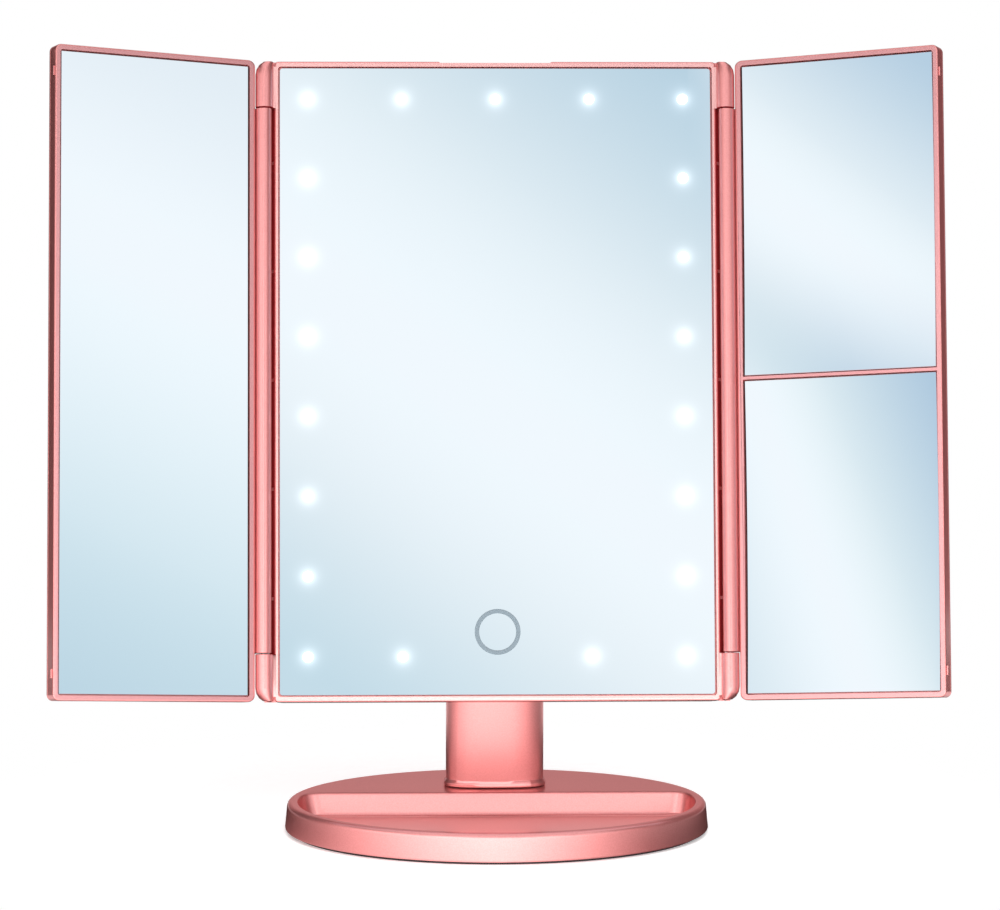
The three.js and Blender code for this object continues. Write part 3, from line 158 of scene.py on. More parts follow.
# Mottled finishes: the part of the noise in which the shade changes, its detail, and the fine relief.
SHADE_FROM = 0.35
SHADE_TO = 0.65
SPECK_DETAIL = 3.0
RELIEF_STRENGTH = 0.4
FINE_RELIEF = 0.02 * MM
FLAKE_SPECK = 0.5 * MM
FLAKE_RELIEF = 0.01 * MM

WHITE = (1, 1, 1, 1)


def wing_place(side):
    """From a wing's own axes, with X outwards along the wing, to the stand's."""
    hinge = Matrix.Translation((side * AXIS_ASIDE, -AXIS_AHEAD, 0))
    return HEAD @ hinge @ Matrix.Rotation(-side * WING_SWING, 4, "Z") @ Matrix.Diagonal((side, 1, 1, 1))


# Shader nodes.
def linear(hex_colour):
    """A written sRGB colour as the linear one that the shaders work in."""
    def channel(start):
        value = int(hex_colour[start:start + 2], 16) / 255
        return value / 12.92 if value <= 0.04045 else ((value + 0.055) / 1.055) ** 2.4
    return (channel(1), channel(3), channel(5), 1)


def add(tree, kind, settings=None, **links):
    """One node with its settings; each link or value is given by the name or number of its socket."""
    made = tree.nodes.new("ShaderNode" + kind)
    for name, value in (settings or {}).items():
        setattr(made, name, value)
    for name, value in links.items():
        socket = made.inputs[int(name[1:])] if name[0] == "_" else made.inputs[name.replace("_", " ")]
        if isinstance(value, bpy.types.NodeSocket):
            tree.links.new(value, socket)
        else:
            socket.default_value = value
    return made


def calc(tree, operation, *values):
    """The result of one operation on numbers or sockets."""
    return add(tree, "Math", {"operation": operation}, **{f"_{i}": v for i, v in enumerate(values)}).outputs[0]


def distance(tree, point):
    return add(tree, "VectorMath", {"operation": "LENGTH"}, _0=point).outputs["Value"]


def smooth(tree, value, start, end, low=0.0, high=1.0):
    """A number that runs softly from low to high while the value goes from start to end."""
    return add(tree, "MapRange", {"interpolation_type": "SMOOTHSTEP"}, Value=value, From_Min=start,
               From_Max=end, To_Min=low, To_Max=high).outputs[0]


def blend(tree, share, first, second):
    """The first shader where the share is nothing, the second where it is one."""
    return add(tree, "MixShader", _0=share, _1=first, _2=second).outputs[0]


def ramp(tree, share, stops, interpolation="LINEAR"):
    """Colour that follows a share through stops, each a position and a linear colour."""
    made = add(tree, "ValToRGB", Fac=share)
    made.color_ramp.interpolation = interpolation
    found = made.color_ramp.elements
    for i, (position, colour) in enumerate(stops):
        stop = found[i] if i < 2 else found.new(position)
        stop.position = position
        stop.color = colour
    return made.outputs["Color"]


def object_place(tree):
    return add(tree, "TexCoord").outputs["Object"]


def clear(tree):
    return add(tree, "BsdfTransparent").outputs[0]


# Finishes of the object.
def material(name, **surface):
    """A material with its main shader set; returns it, its tree and the shader."""
    made = bpy.data.materials.new(name)
    made.use_nodes = True
    tree = made.node_tree
    shader = next(n for n in tree.nodes if n.bl_idname == "ShaderNodeBsdfPrincipled")
    for socket, value in surface.items():
        shader.inputs[socket.replace("_", " ")].default_value = value
    return made, tree, shader


def mottled(name, dark, light, speck, relief=FINE_RELIEF, **surface):
    """A material whose colour wanders between two close shades in specks of a real size, finely raised."""
    made, tree, shader = material(name, **surface)
    noise = add(tree, "TexNoise", {"noise_dimensions": "3D"}, Vector=object_place(tree), Scale=1 / speck,
                Detail=SPECK_DETAIL).outputs["Fac"]
    shade = ramp(tree, noise, ((SHADE_FROM, linear(dark)), (SHADE_TO, linear(light))))
    tree.links.new(shade, shader.inputs["Base Color"])
    if relief:
        raised = add(tree, "Bump", Strength=RELIEF_STRENGTH, Distance=relief, Height=noise)
        tree.links.new(raised.outputs["Normal"], shader.inputs["Normal"])
    return made


def rose(name, dark, light, metallic=0.84, roughness=0.33, coat=0.7, coat_roughness=0.15, tint="#F2C0C0"):
    """Rose lacquer with aluminium flake under a clear coat."""
    return mottled(
        name, dark, light, FLAKE_SPECK, FLAKE_RELIEF, Metallic=metallic, Roughness=roughness, Coat_Weight=coat,
        Coat_Roughness=coat_roughness, Specular_Tint=linear(tint))


# Rose metallic lacquer sprayed on moulded ABS: a satin sheen with the flake just under the surface.
LACQUER = rose("rose_metallic_lacquer", "#E19190", "#E89998")
# The same paint on the narrow flat rims round the mirrors, paler on the head's rim as painted light and
# dimmer on the wings' rims as painted shade.
PAINTED_LIGHT_HEAD_RIM = rose("rose_lacquer_painted_light_on_rim", "#E7ADAB", "#ECB5B3")
PAINTED_SHADE_WING_RIMS = rose("rose_lacquer_painted_shade_on_wing_rims", "#D29395", "#D99B9D")
# The same paint on the tray floor, paler as painted light on this floor that faces up, and softer.
PAINTED_LIGHT_TRAY_FLOOR = rose("rose_lacquer_painted_light_in_tray", "#F1AEAD", "#F6B6B5", 0.7, 0.42, 0.5, 0.2, "#FFFFFF")
# The same paint in the hinge gaps and at the joints of knuckles and barrels, dull and dark: painted shade.
PAINTED_GAP_SHADE = mottled(
    "rose_lacquer_painted_gap_shade", "#8A1A1E", "#9C2428", 0.4 * MM, 0,
    Metallic=0.2, Roughness=0.7, Specular_IOR_Level=0.2)

# Float glass silvered behind: a sharp, slightly cool reflection.
SILVER_TINT = "#F0F8FE"
SILVERED = material("silvered_glass", Base_Color=linear(SILVER_TINT), Metallic=1.0, Roughness=0.0)[0]
# Ground edge of the glass: grey green and matte.
GROUND_EDGE = mottled("ground_glass_edge", "#5B5F60", "#737979", 0.4 * MM, 0, Roughness=0.5)
# Acid-etched window in the silvering, lit from behind by its diode.
LIT_WINDOW = material(
    "etched_window", Base_Color=linear("#FFFFFF"), Roughness=0.6,
    Emission_Color=linear("#FDFEFF"), Emission_Strength=1.6)[0]
# Acid-etched touch ring, grey where the silvering is away.
TOUCH_RING = mottled("etched_ring", "#818F98", "#86949D", 0.3 * MM, 0, Roughness=0.7, Specular_IOR_Level=0.2)


def distance_to_lights(tree):
    """How far a point of the centre mirror is from the middle of the nearest light."""
    def far(x, y):
        return distance(tree, add(tree, "CombineXYZ", X=x, Y=y).outputs[0])

    local = add(tree, "Mapping", {"vector_type": "TEXTURE"}, Vector=object_place(tree),
                Location=tuple(HEAD_FOOT), Rotation=(-HEAD_TILT, 0, 0))
    split = add(tree, "SeparateXYZ", Vector=local.outputs[0])
    across, up = split.outputs["X"], split.outputs["Z"]
    aside = calc(tree, "ABSOLUTE", across)
    above_low = calc(tree, "SUBTRACT", up, LIGHT_LOW)
    column = far(
        calc(tree, "SUBTRACT", aside, LIGHT_COLUMN), calc(tree, "PINGPONG", above_low, LIGHT_RISE / 2))
    top = far(
        calc(tree, "PINGPONG", across, LIGHT_STEP / 2),
        calc(tree, "SUBTRACT", above_low, LIGHT_RISE * (LIGHT_ROWS - 1)))
    low = far(calc(tree, "SUBTRACT", aside, LIGHT_STEP), above_low)
    return calc(tree, "MINIMUM", calc(tree, "MINIMUM", column, top), low)


# The silvered plate where the lights shine through, with a painted glow fading round each window for the light
# scattered in the glass.
def painted_glow_glass():
    made, tree, shader = material(
        "silvered_glass_with_painted_glow", Base_Color=linear(SILVER_TINT), Metallic=1.0, Roughness=0.0,
        Emission_Color=linear("#F6FBFF"))
    near = calc(tree, "MULTIPLY_ADD", distance_to_lights(tree), -1 / GLOW_FADE,
                WINDOW_RADIUS / GLOW_FADE + math.log(GLOW_EDGE))
    tree.links.new(calc(tree, "EXPONENT", near), shader.inputs["Emission Strength"])
    return made


CENTRE_FINISHES = (painted_glow_glass(), GROUND_EDGE, LIT_WINDOW, TOUCH_RING, SILVERED)

FINISHES = {
    "rose_paint": LACQUER,
    "mirror_glass": SILVERED,
    "steel": mottled("zinc_plated_steel", "#A9ACB0", "#C4C7CA", 0.6 * MM, Metallic=1.0, Roughness=0.32),
    "battery_sleeve": mottled("shrink_sleeve", "#565C64", "#5E646C", 2 * MM, Roughness=0.35),
    "light_board": mottled("white_solder_mask", "#ECECE6", "#F3F3EF", 1 * MM, Roughness=0.5),
    "power_board": mottled("green_solder_mask", "#2B6542", "#347250", 1 * MM, Roughness=0.4),
    "socket_shell": mottled("tinned_sheet", "#AEB1B4", "#C6C8CA", 0.5 * MM, Metallic=1.0, Roughness=0.28),
    "switch_plastic": mottled("black_acetal", "#1F1F22", "#28282B", 0.5 * MM, Roughness=0.45),
    "contact_plate": mottled("nickel_plate", "#B4B4B0", "#C8C7C2", 0.5 * MM, Metallic=1.0, Roughness=0.25),
    "nut_brass": mottled("turned_brass", "#B8954F", "#CCAA62", 0.5 * MM, Metallic=1.0, Roughness=0.3),
    "nylon": mottled("natural_nylon", "#D3CDC2", "#DDD8CE", 0.5 * MM, Roughness=0.5),
    "cover_plastic": mottled("spark_eroded_abs", "#E0DBD5", "#EAE6E1", 0.4 * MM, Roughness=0.55),
    "ballast_steel": mottled("hot_rolled_steel", "#64666A", "#7C7E82", 2 * MM, Metallic=1.0, Roughness=0.5),
    "pad_rubber": mottled("closed_cell_foam", "#343033", "#403C3F", 0.6 * MM, Roughness=0.85),
}

# Which finish the record gives each CAD node.
SLOTS = {part["node"]: part["material_slot"] for part in frame["record"]["subparts"]}
for name, node in frame["nodes"].items():
    node.data.materials.clear()
    node.data.materials.append(FINISHES[SLOTS[name]])


def fitted(name, shape, finishes, body, node):
    """Makes a piece of a shape and puts it in place of a CAD node, moving with its body."""
    mesh = bpy.data.meshes.new(name)
    shape.to_mesh(mesh)
    shape.free()
    for finish in finishes:
        mesh.materials.append(finish)
    piece = bpy.data.objects.new(name, mesh)
    bpy.context.scene.collection.objects.link(piece)
    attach(piece, body)
    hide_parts(node)
    return piece


# Housings.
def from_axis(point, side):
    """A point of the head as its distance outwards and backwards from a hinge axis and its height."""
    local = HEAD.inverted() @ point
    return side * local.x - AXIS_ASIDE, local.y + AXIS_AHEAD, local.z


def high_end(face):
    """Whether a face of the head or a wing looks straight up or down the hinge axis."""
    return abs((HEAD.inverted().to_3x3() @ face.normal).z) > FACING


def mark_flat_front(shape, place):
    """Marks the flat rim of a frame, whose own axes are given, for its rim lacquer: painted light on the head,
    painted shade on a wing.
    """
    back = place.inverted()
    for face in shape.faces:
        level = abs((back @ face.calc_center_median()).y) < CLOSE
        if level and (back.to_3x3() @ face.normal).y < -FACING:
            face.material_index = RIM


def chamfer_ends(shape):
    """A small chamfer round each end of a knuckle or barrel at the joint between them, in the painted shade of
    that end.
    """
    ends = [edge for edge in shape.edges if edge.calc_face_angle(0) > END_ANGLE
            and any(face.material_index == INNER and high_end(face) for face in edge.link_faces)]
    bmesh.ops.bevel(shape, geom=ends, offset=END_CHAMFER, segments=1, affect="EDGES", material=INNER)


def draw_in_tips(shape, side):
    """Draws the tip of each knuckle on one side in to the frame, straight on the inside."""
    for vert in shape.verts:
        out, back, high = from_axis(vert.co, side)
        share = 1 - min(high, HEAD_HEIGHT - high) / TIP_HEIGHT
        if not 0 < share <= 1 + TIP_SLACK:
            continue
        share = min(share, 1)
        round_share = math.sqrt(1 - share ** 2)
        if math.hypot(out + TIP_LEAN * share ** 2, back) > BARREL_RADIUS * round_share + TIP_CLOSE:
            continue
        turn = math.atan2(back, out + TIP_LEAN * share ** 2)
        inset = TIP_ROUND / 2 * (1 - round_share)
        width = BARREL_RADIUS - inset
        depth = BARREL_RADIUS * math.sqrt(1 - (TIP_DEPTH_SHARE * share) ** 2)
        if share == 1:
            width, depth = 0, 0
        aside = AXIS_ASIDE - inset + width * math.cos(turn)
        vert.co = HEAD @ Vector((side * aside, depth * math.sin(turn) - AXIS_AHEAD, high))


def mark_gap(shape, side):
    """Marks what lies in the hinge gap on one side, but for the ribs, and the ends of the knuckles, for painted
    shade.
    """
    for face in shape.faces:
        out, back, high = from_axis(face.calc_center_median(), side)
        if not KNUCKLE_LENGTH - JOINT_CLOSE < high < HEAD_HEIGHT - KNUCKLE_LENGTH + JOINT_CLOSE:
            continue
        rib = math.hypot(out, back) < BARREL_RADIUS + RIB_CLEAR
        if FRAME_HALF - AXIS_ASIDE + CLOSE < out < 0 and not rib:
            face.material_index = INNER
        if high_end(face) and math.hypot(out, back) < BARREL_RADIUS:
            face.material_index = INNER


def shape_frame(shape):
    """The frame of the head: its knuckles, its hinge gaps in painted shade and its rim in paler lacquer,
    painted light.
    """
    for side in (-1, 1):
        draw_in_tips(shape, side)
    for side in (-1, 1):
        mark_gap(shape, side)
    mark_flat_front(shape, HEAD)
    chamfer_ends(shape)


def shape_wing(side):
    """For a wing: its rim closes up to the knuckles, and the barrel is slimmer on the side of the head; the
    barrel's ends get painted shade, and the flat rim a dimmer lacquer, painted shade too.
    """
    def reshape(shape):
        place = wing_place(side)
        back = place.inverted()
        for vert in shape.verts:
            local = back @ vert.co
            share = (RIM_STAYS - local.x) / (RIM_STAYS - RIM_NEAR)
            if 0 < share <= 1 + RIM_SLACK:
                local.x -= RIM_CLOSER * share
                vert.co = place @ local
            out, behind, high = from_axis(vert.co, side)
            if out < 0 and abs(math.hypot(out, behind) - BARREL_RADIUS) < CLOSE:
                aside = AXIS_ASIDE + out * BARREL_INNER / BARREL_RADIUS
                vert.co = HEAD @ Vector((side * aside, behind - AXIS_AHEAD, high))
        # The ends of the barrel: painted shade.
        for face in shape.faces:
            if high_end(face) and math.hypot(*(back @ face.calc_center_median()).xy) < BARREL_RADIUS:
                face.material_index = INNER
        mark_flat_front(shape, place)
        chamfer_ends(shape)
    return reshape


def mark_tray_floor(shape):
    """Marks the floor of the tray, for its paler lacquer: painted light."""
    for face in shape.faces:
        if face.normal.z > TRAY_FLOOR_LEVEL and face.calc_center_median().z < TRAY_FLOOR_TOP:
            face.material_index = INNER


def soft_copy(node, body, radius, reshape=None, others=(), facet_angle=FACET_ANGLE):
    """Stands for a node: its solid with the facets merged and the edges rounded, as the moulding has them."""
    shape = bmesh.new()
    shape.from_mesh(frame["nodes"][node].data)
    bmesh.ops.remove_doubles(shape, verts=shape.verts, dist=WELD)
    bmesh.ops.dissolve_limit(
        shape, angle_limit=math.radians(facet_angle), verts=shape.verts, edges=shape.edges, delimit={"NORMAL"})
    for face in shape.faces:
        face.smooth = True
        face.material_index = MAIN
    if reshape:
        reshape(shape)
    weight = shape.edges.layers.float.new("bevel_weight_edge")
    for edge in shape.edges:
        corner = edge.calc_face_angle(0) > EDGE_ANGLE
        gap = PAINTED_GAP_SHADE in others and any(face.material_index == INNER for face in edge.link_faces)
        edge[weight] = float(corner and not gap)
        edge.smooth = not (corner and gap)
    piece = fitted(node + "_skin", shape, (LACQUER,) + others, body, node)
    edge = piece.modifiers.new("edge", "BEVEL")
    edge.width = radius
    edge.segments = EDGE_FACETS
    edge.limit_method = "WEIGHT"
    shade = piece.modifiers.new("shade", "WEIGHTED_NORMAL")
    shade.weight = FLAT_WEIGHT
    shade.keep_sharp = True


soft_copy("head_front_frame", "head", FRAME_EDGE, shape_frame, (PAINTED_GAP_SHADE, PAINTED_LIGHT_HEAD_RIM))
soft_copy("head_rear_cover", "head", COVER_EDGE)
for wing, side in (("left_wing", -1), ("right_wing", 1)):
    soft_copy(wing + "_frame", wing, FRAME_EDGE, shape_wing(side), (PAINTED_GAP_SHADE, PAINTED_SHADE_WING_RIMS))
for wing in ("left_wing", "right_wing"):
    soft_copy(wing + "_back_cover", wing, FRAME_EDGE)
soft_copy("neck_column", "stand", COVER_EDGE, facet_angle=COLUMN_FACET_ANGLE)
soft_copy("base_top_shell", "stand", BASE_EDGE, mark_tray_floor, (PAINTED_LIGHT_TRAY_FLOOR,))


# Mirror plates.
def circle(x, z, radius):
    return [Vector((x + radius * math.cos(turn), 0, z + radius * math.sin(turn))) for turn in TURNS]


def light_places():
    rows = range(LIGHT_ROWS)
    columns = [(side * LIGHT_COLUMN, LIGHT_LOW + row * LIGHT_RISE) for side in (-1, 1) for row in rows]
    top = [(i * LIGHT_STEP, LIGHT_LOW + (LIGHT_ROWS - 1) * LIGHT_RISE) for i in (-1, 0, 1)]
    low = [(side * LIGHT_STEP, LIGHT_LOW) for side in (-1, 1)]
    return columns + top + low


def ring_of(shape, points, depth):
    return [shape.verts.new(point + Vector((0, depth, 0))) for point in points]


def closed_edges_of(verts):
    """The edges along a ring, once a wall has been built on it."""
    pairs = zip(verts, verts[1:] + verts[:1])
    return [next(e for e in a.link_edges if e.other_vert(a) == b) for a, b in pairs]


def wall(shape, front, back, index):
    """A band of faces between two rings with the same number of points."""
    for i in range(len(front)):
        j = (i + 1) % len(front)
        shape.faces.new((front[i], front[j], back[j], back[i])).material_index = index


def plate_outline(inset=0.0):
    """Outline of the plate with small round corners, anticlockwise seen from the back."""
    half, low, high = GLASS_HALF - inset, GLASS_FOOT + inset, GLASS_TOP - inset
    radius = GLASS_CORNER
    points = []
    for x, z, start in ((half, high, 0), (-half, high, 90), (-half, low, 180), (half, low, 270)):
        middle = Vector((x - math.copysign(radius, x), 0, z + (radius if z == low else -radius)))
        for step in range(CORNER_STEPS + 1):
            angle = math.radians(start + 90 * step / CORNER_STEPS)
            points.append(middle + radius * Vector((math.cos(angle), 0, math.sin(angle))))
    return points


def centre_mirror():
    """The plate with its arris taken off, round windows etched over the lights and the etched touch ring."""
    shape = bmesh.new()
    front = ring_of(shape, plate_outline(ARRIS_WIDTH), GLASS_FRONT)
    shoulder = ring_of(shape, plate_outline(), GLASS_FRONT + ARRIS_DEPTH)
    back = ring_of(shape, plate_outline(), GLASS_BACK)
    wall(shape, front, shoulder, BRIGHT)
    wall(shape, shoulder, back, GROUND)
    shape.faces.new(back).material_index = GROUND
    edges = closed_edges_of(front)
    etched = GLASS_FRONT + ETCH_DEPTH
    for x, z in light_places():
        rim = ring_of(shape, circle(x, z, WINDOW_RADIUS), GLASS_FRONT)
        floor = ring_of(shape, circle(x, z, WINDOW_RADIUS - ETCH_DEPTH), etched)
        wall(shape, rim, floor, WINDOW)
        shape.faces.new(floor).material_index = WINDOW
        edges += closed_edges_of(rim)
    outer = ring_of(shape, circle(0, TOUCH_HEIGHT, TOUCH_OUTER), GLASS_FRONT)
    outer_floor = ring_of(shape, circle(0, TOUCH_HEIGHT, TOUCH_OUTER - ETCH_DEPTH), etched)
    inner_floor = ring_of(shape, circle(0, TOUCH_HEIGHT, TOUCH_INNER + ETCH_DEPTH), etched)
    inner = ring_of(shape, circle(0, TOUCH_HEIGHT, TOUCH_INNER), GLASS_FRONT)
    for a, b in ((outer, outer_floor), (outer_floor, inner_floor), (inner_floor, inner)):
        wall(shape, a, b, RING)
    shape.faces.new(inner)
    edges += closed_edges_of(outer)
    bmesh.ops.triangle_fill(shape, use_beauty=True, use_dissolve=False, edges=edges)
    bmesh.ops.recalc_face_normals(shape, faces=shape.faces)
    shape.transform(HEAD)
    fitted("centre_mirror", shape, CENTRE_FINISHES, "head", "centre_mirror_glass")


def dish_depth(x, z, span_z, radius):
    """How far behind its corners the front of a dished plate lies at a point."""
    if not radius:
        return 0.0
    middle_x, middle_z = sum(WING_SPAN) / 2, sum(span_z) / 2
    corner = (WING_GLASS_FAR - middle_x) ** 2 + (span_z[1] - middle_z) ** 2
    return (corner - (x - middle_x) ** 2 - (z - middle_z) ** 2) / (2 * radius)


def levels(low, high, count):
    """Positions across a plate: its edges, the lines where the arris starts, and even steps between."""
    first, last = low + ARRIS_WIDTH, high - ARRIS_WIDTH
    return [low] + [first + (last - first) * i / count for i in range(count + 1)] + [high]


def wing_plate(node, side, body, span_z, radius, thick, cells):
    """A plate of a wing, flat or dished, as a grid of faces with a ground edge."""
    xs = levels(*WING_SPAN, cells[0])
    zs = levels(*span_z, cells[1])
    shape = bmesh.new()

    def sheet(lift, bevelled):
        rows = []
        for z in zs:
            row = []
            for x in xs:
                rim = bevelled and (x in (xs[0], xs[-1]) or z in (zs[0], zs[-1]))
                depth = lift + dish_depth(x, z, span_z, radius) + (ARRIS_DEPTH if rim else 0)
                row.append(shape.verts.new((x, depth, z)))
            rows.append(row)
        for i in range(len(zs) - 1):
            for j in range(len(xs) - 1):
                face = shape.faces.new((rows[i][j], rows[i][j + 1], rows[i + 1][j + 1], rows[i + 1][j]))
                edge = bevelled and (i in (0, len(zs) - 2) or j in (0, len(xs) - 2))
                face.smooth = bool(radius) and not edge
                face.material_index = MAIN if bevelled else GROUND
        return rows[0] + [row[-1] for row in rows[1:]] + rows[-1][-2::-1] + [row[0] for row in rows[-2:0:-1]]

    front = sheet(GLASS_FRONT, True)
    back = sheet(GLASS_FRONT + thick, False)
    wall(shape, front, back, GROUND)
    bmesh.ops.recalc_face_normals(shape, faces=shape.faces)
    for edge in shape.edges:
        edge.smooth = all(face.smooth for face in edge.link_faces)
    shape.transform(wing_place(side))
    if side < 0:
        bmesh.ops.reverse_faces(shape, faces=shape.faces)
    fitted(node + "_plate", shape, (SILVERED, GROUND_EDGE), body, node)


centre_mirror()
wing_plate("left_wing_glass", -1, "left_wing", WHOLE_PLATE, 0, GLASS_BACK - GLASS_FRONT, (1, 1))
wing_plate("right_wing_lower_glass", 1, "right_wing", LOWER_PLATE, LOWER_DISH, DISH_THICK, DISH_CELLS)
wing_plate("right_wing_upper_glass", 1, "right_wing", UPPER_PLATE, UPPER_DISH, DISH_THICK, DISH_CELLS)


# Studio, in metres round the object. It has a pale table, a white room and four softboxes; a light tent
# and a second table that only the lacquer mirrors; and a glowing card for each plate of the mirror.
PAD_OVERLAP = 1 * MM
TABLE_DROP = 0.05 * MM
TABLE_REACH = 1.5
TABLE_GREY = (0.9, 0.9, 0.9, 1)
TABLE_LIFT = 0.33
TABLE_FADE = (0.09, 0.22)
ROOM_FILL = 0.35

# The room that the mirror plates show: bluish white below, a soft blue band higher up on one side.
ROOM_SLANT = (0.42, 0.0, 0.91)
ROOM_COLOURS = ((0.0, "#EEF4F9"), (0.42, "#F3F8FC"), (0.55, "#EDF5FB"), (0.68, "#D3E4EE"), (0.80, "#BBD3E2"),
                (1.0, "#D9E8F1"))

# Softboxes: where each stands, what it points at, its width and height, and its power in watts.
SOFTBOXES = {
    "key_softbox": ((-0.1, -1.3, 0.9), (0, 0, 0.12), (1.2, 0.9), 18),
    "fill_softbox": ((0.8, -1.0, 0.5), (0, 0, 0.12), (0.9, 0.9), 4.5),
    "back_softbox": ((0.2, 1.3, 0.6), (0, 0, 0.12), (1.0, 0.9), 7),
    "top_softbox": ((0, -0.2, 1.3), (0, 0, 0), (1.2, 1.2), 10),
}

CAMERA_PLACE = Vector((-46.56, -1529.44, 344.53)) * MM
CAMERA_YAW = math.radians(1.78)
CAMERA_PITCH = math.radians(7.45)
CAMERA_ROLL = math.radians(0.12)
CAMERA_LENS = 147.3
CAMERA_SENSOR = 36
CAMERA_FAR = 50

# Cards: how far each lies from its plate, and how wide its edge fades for the lacquer and for the plates.
CARD_REACH = 0.5
CARD_MARGIN = 0.03
CARD_FADE = 0.10

# Light tent that the lacquer mirrors: degrees round the object from its front, and how bright the cloth
# is there. It dims between two heights, is barely warm where it is bright and rose where it is dark.
TENT_RADIUS = 0.9
TENT_HEIGHT = 1.3
TENT_LEVEL = 3.6
TENT_CLOTH = ((-180, 0.65), (-155, 0.45), (-138, 0.03), (-110, 0.04), (-90, 0.40), (-72, 1.25), (-47, 2.10),
              (-26, 2.95), (0, 3.60), (26, 2.70), (47, 1.45), (58, 0.85), (72, 0.30), (90, 0.08), (130, 0.16),
              (155, 0.45), (180, 0.65))
TENT_DIM_FROM = 0.45
TENT_DIM_TO = 0.66
TENT_DIM = 0.3
WARM_GREEN = 0.02
WARM_BLUE = 0.06
DARK_ROSE = 0.6
DARK_ROSE_POWER = 3

# The table as the lacquer mirrors it: as bright as the cloth above it on each side, a little brighter
# from the near distance to the far one, and lit by the room further out, but not far to either side.
MIRRORED_DROP = 0.02 * MM
MIRRORED_REACH = 0.7
MIRRORED_CLOTH = ((-180, 0.0), (-128, 0.0), (-108, 0.03), (-90, 0.22), (-72, 0.70), (-47, 1.35), (-26, 1.95),
                  (0, 2.50), (26, 1.40), (47, 0.55), (58, 0.22), (72, 0.05), (90, 0.0), (180, 0.0))
NEAR_TABLE = 0.10
FAR_TABLE = 0.18
NEAR_LEVEL = 0.85
FAR_LEVEL = 1.2
DARK_TABLE = 0.16
OPEN_TABLE = 0.24
OPEN_LEVEL = 0.9
OPEN_NARROW = 0.34
OPEN_WIDE = 0.46


def stage_piece(name, points, faces, finish):
    """A piece of the studio, which is no part of the object."""
    mesh = bpy.data.meshes.new(name)
    mesh.from_pydata([Vector(point) for point in points], [], faces)
    mesh.materials.append(finish)
    made = bpy.data.objects.new(name, mesh)
    bpy.context.scene.collection.objects.link(made)
    return made


def stage_material(name):
    """An empty material for a piece of the studio, and its tree."""
    made = bpy.data.materials.new(name)
    made.use_nodes = True
    made.node_tree.nodes.clear()
    return made, made.node_tree


def band_faces():
    """The faces between a ring of points and the next one, each with as many sides as a round has."""
    pairs = [(i, (i + 1) % ROUND_SIDES) for i in range(ROUND_SIDES)]
    return [(i, j, ROUND_SIDES + j, ROUND_SIDES + i) for i, j in pairs]


def table_sheet(name, reach, drop, finish):
    """A round sheet just under the object, open below the pad so that the bottom is lit as well."""
    low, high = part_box("anti_slip_pad")
    across, along = [(high[i] - low[i]) / 2 - PAD_OVERLAP for i in (0, 1)]
    middle_x, middle_y = (low[0] + high[0]) / 2, (low[1] + high[1]) / 2
    outer = [(reach * math.cos(turn), reach * math.sin(turn), -drop) for turn in TURNS]
    inner = [(middle_x + across * math.cos(turn), middle_y + along * math.sin(turn), -drop) for turn in TURNS]
    return stage_piece(name, outer + inner, band_faces(), finish)


def only_in_reflections(piece):
    piece.visible_camera = False
    piece.visible_diffuse = False
    piece.visible_transmission = False
    piece.visible_volume_scatter = False
    piece.visible_shadow = False


def seen_rays(tree):
    """One where the ray comes from the camera, a reflection or through glass."""
    rays = add(tree, "LightPath").outputs
    first = calc(tree, "MAXIMUM", rays["Is Camera Ray"], rays["Is Glossy Ray"])
    return calc(tree, "MAXIMUM", first, rays["Is Transmission Ray"])


def mirror_rays(tree):
    """One for what is seen in the mirror plates, whose reflection is sharp; the lacquer's is not."""
    return add(tree, "LightPath").outputs["Is Singular Ray"]


def underside(tree):
    return add(tree, "NewGeometry").outputs["Backfacing"]


def make_table():
    """The pale table, lifted to white where it is seen and fading to nothing round the object."""
    made, tree = stage_material("pale_table")
    base = add(tree, "BsdfDiffuse", Color=TABLE_GREY).outputs[0]
    lift = add(tree, "Emission", Color=WHITE, Strength=TABLE_LIFT).outputs[0]
    lit = add(tree, "AddShader", _0=base, _1=lift).outputs[0]
    seen = blend(tree, seen_rays(tree), base, lit)
    fade = smooth(tree, distance(tree, object_place(tree)), *TABLE_FADE)
    above = blend(tree, fade, seen, clear(tree))
    add(tree, "OutputMaterial", Surface=blend(tree, underside(tree), above, clear(tree)))
    table_sheet("floor", TABLE_REACH, TABLE_DROP, made)


def make_room():
    """White for the camera and the lacquer, dimmer as light, and a soft gradient for the mirror plates."""
    world = bpy.data.worlds.new("studio")
    bpy.context.scene.world = world
    world.use_nodes = True
    tree = world.node_tree
    tree.nodes.clear()
    fill = add(tree, "Background", Color=WHITE, Strength=ROOM_FILL).outputs[0]
    shown = add(tree, "Background", Color=WHITE, Strength=1.0).outputs[0]
    slant = add(tree, "VectorMath", {"operation": "DOT_PRODUCT"}, _0=add(tree, "TexCoord").outputs["Generated"],
                _1=ROOM_SLANT)
    place = add(tree, "MapRange", Value=slant.outputs["Value"], From_Min=-1.0, From_Max=1.0)
    colour = ramp(tree, place.outputs[0], [(at, linear(shade)) for at, shade in ROOM_COLOURS], "EASE")
    room = add(tree, "Background", Color=colour, Strength=1.0).outputs[0]
    white = blend(tree, seen_rays(tree), fill, shown)
    add(tree, "OutputWorld", Surface=blend(tree, mirror_rays(tree), white, room))


def softbox(name, place, target, size, power):
    data = bpy.data.lights.new(name, "AREA")
    data.shape = "RECTANGLE"
    data.size, data.size_y = size
    data.energy = power
    made = bpy.data.objects.new(name, data)
    bpy.context.scene.collection.objects.link(made)
    made.location = place
    aim = Vector(target) - Vector(place)
    made.rotation_euler = aim.to_track_quat("-Z", "Y").to_euler()
    made.visible_glossy = False


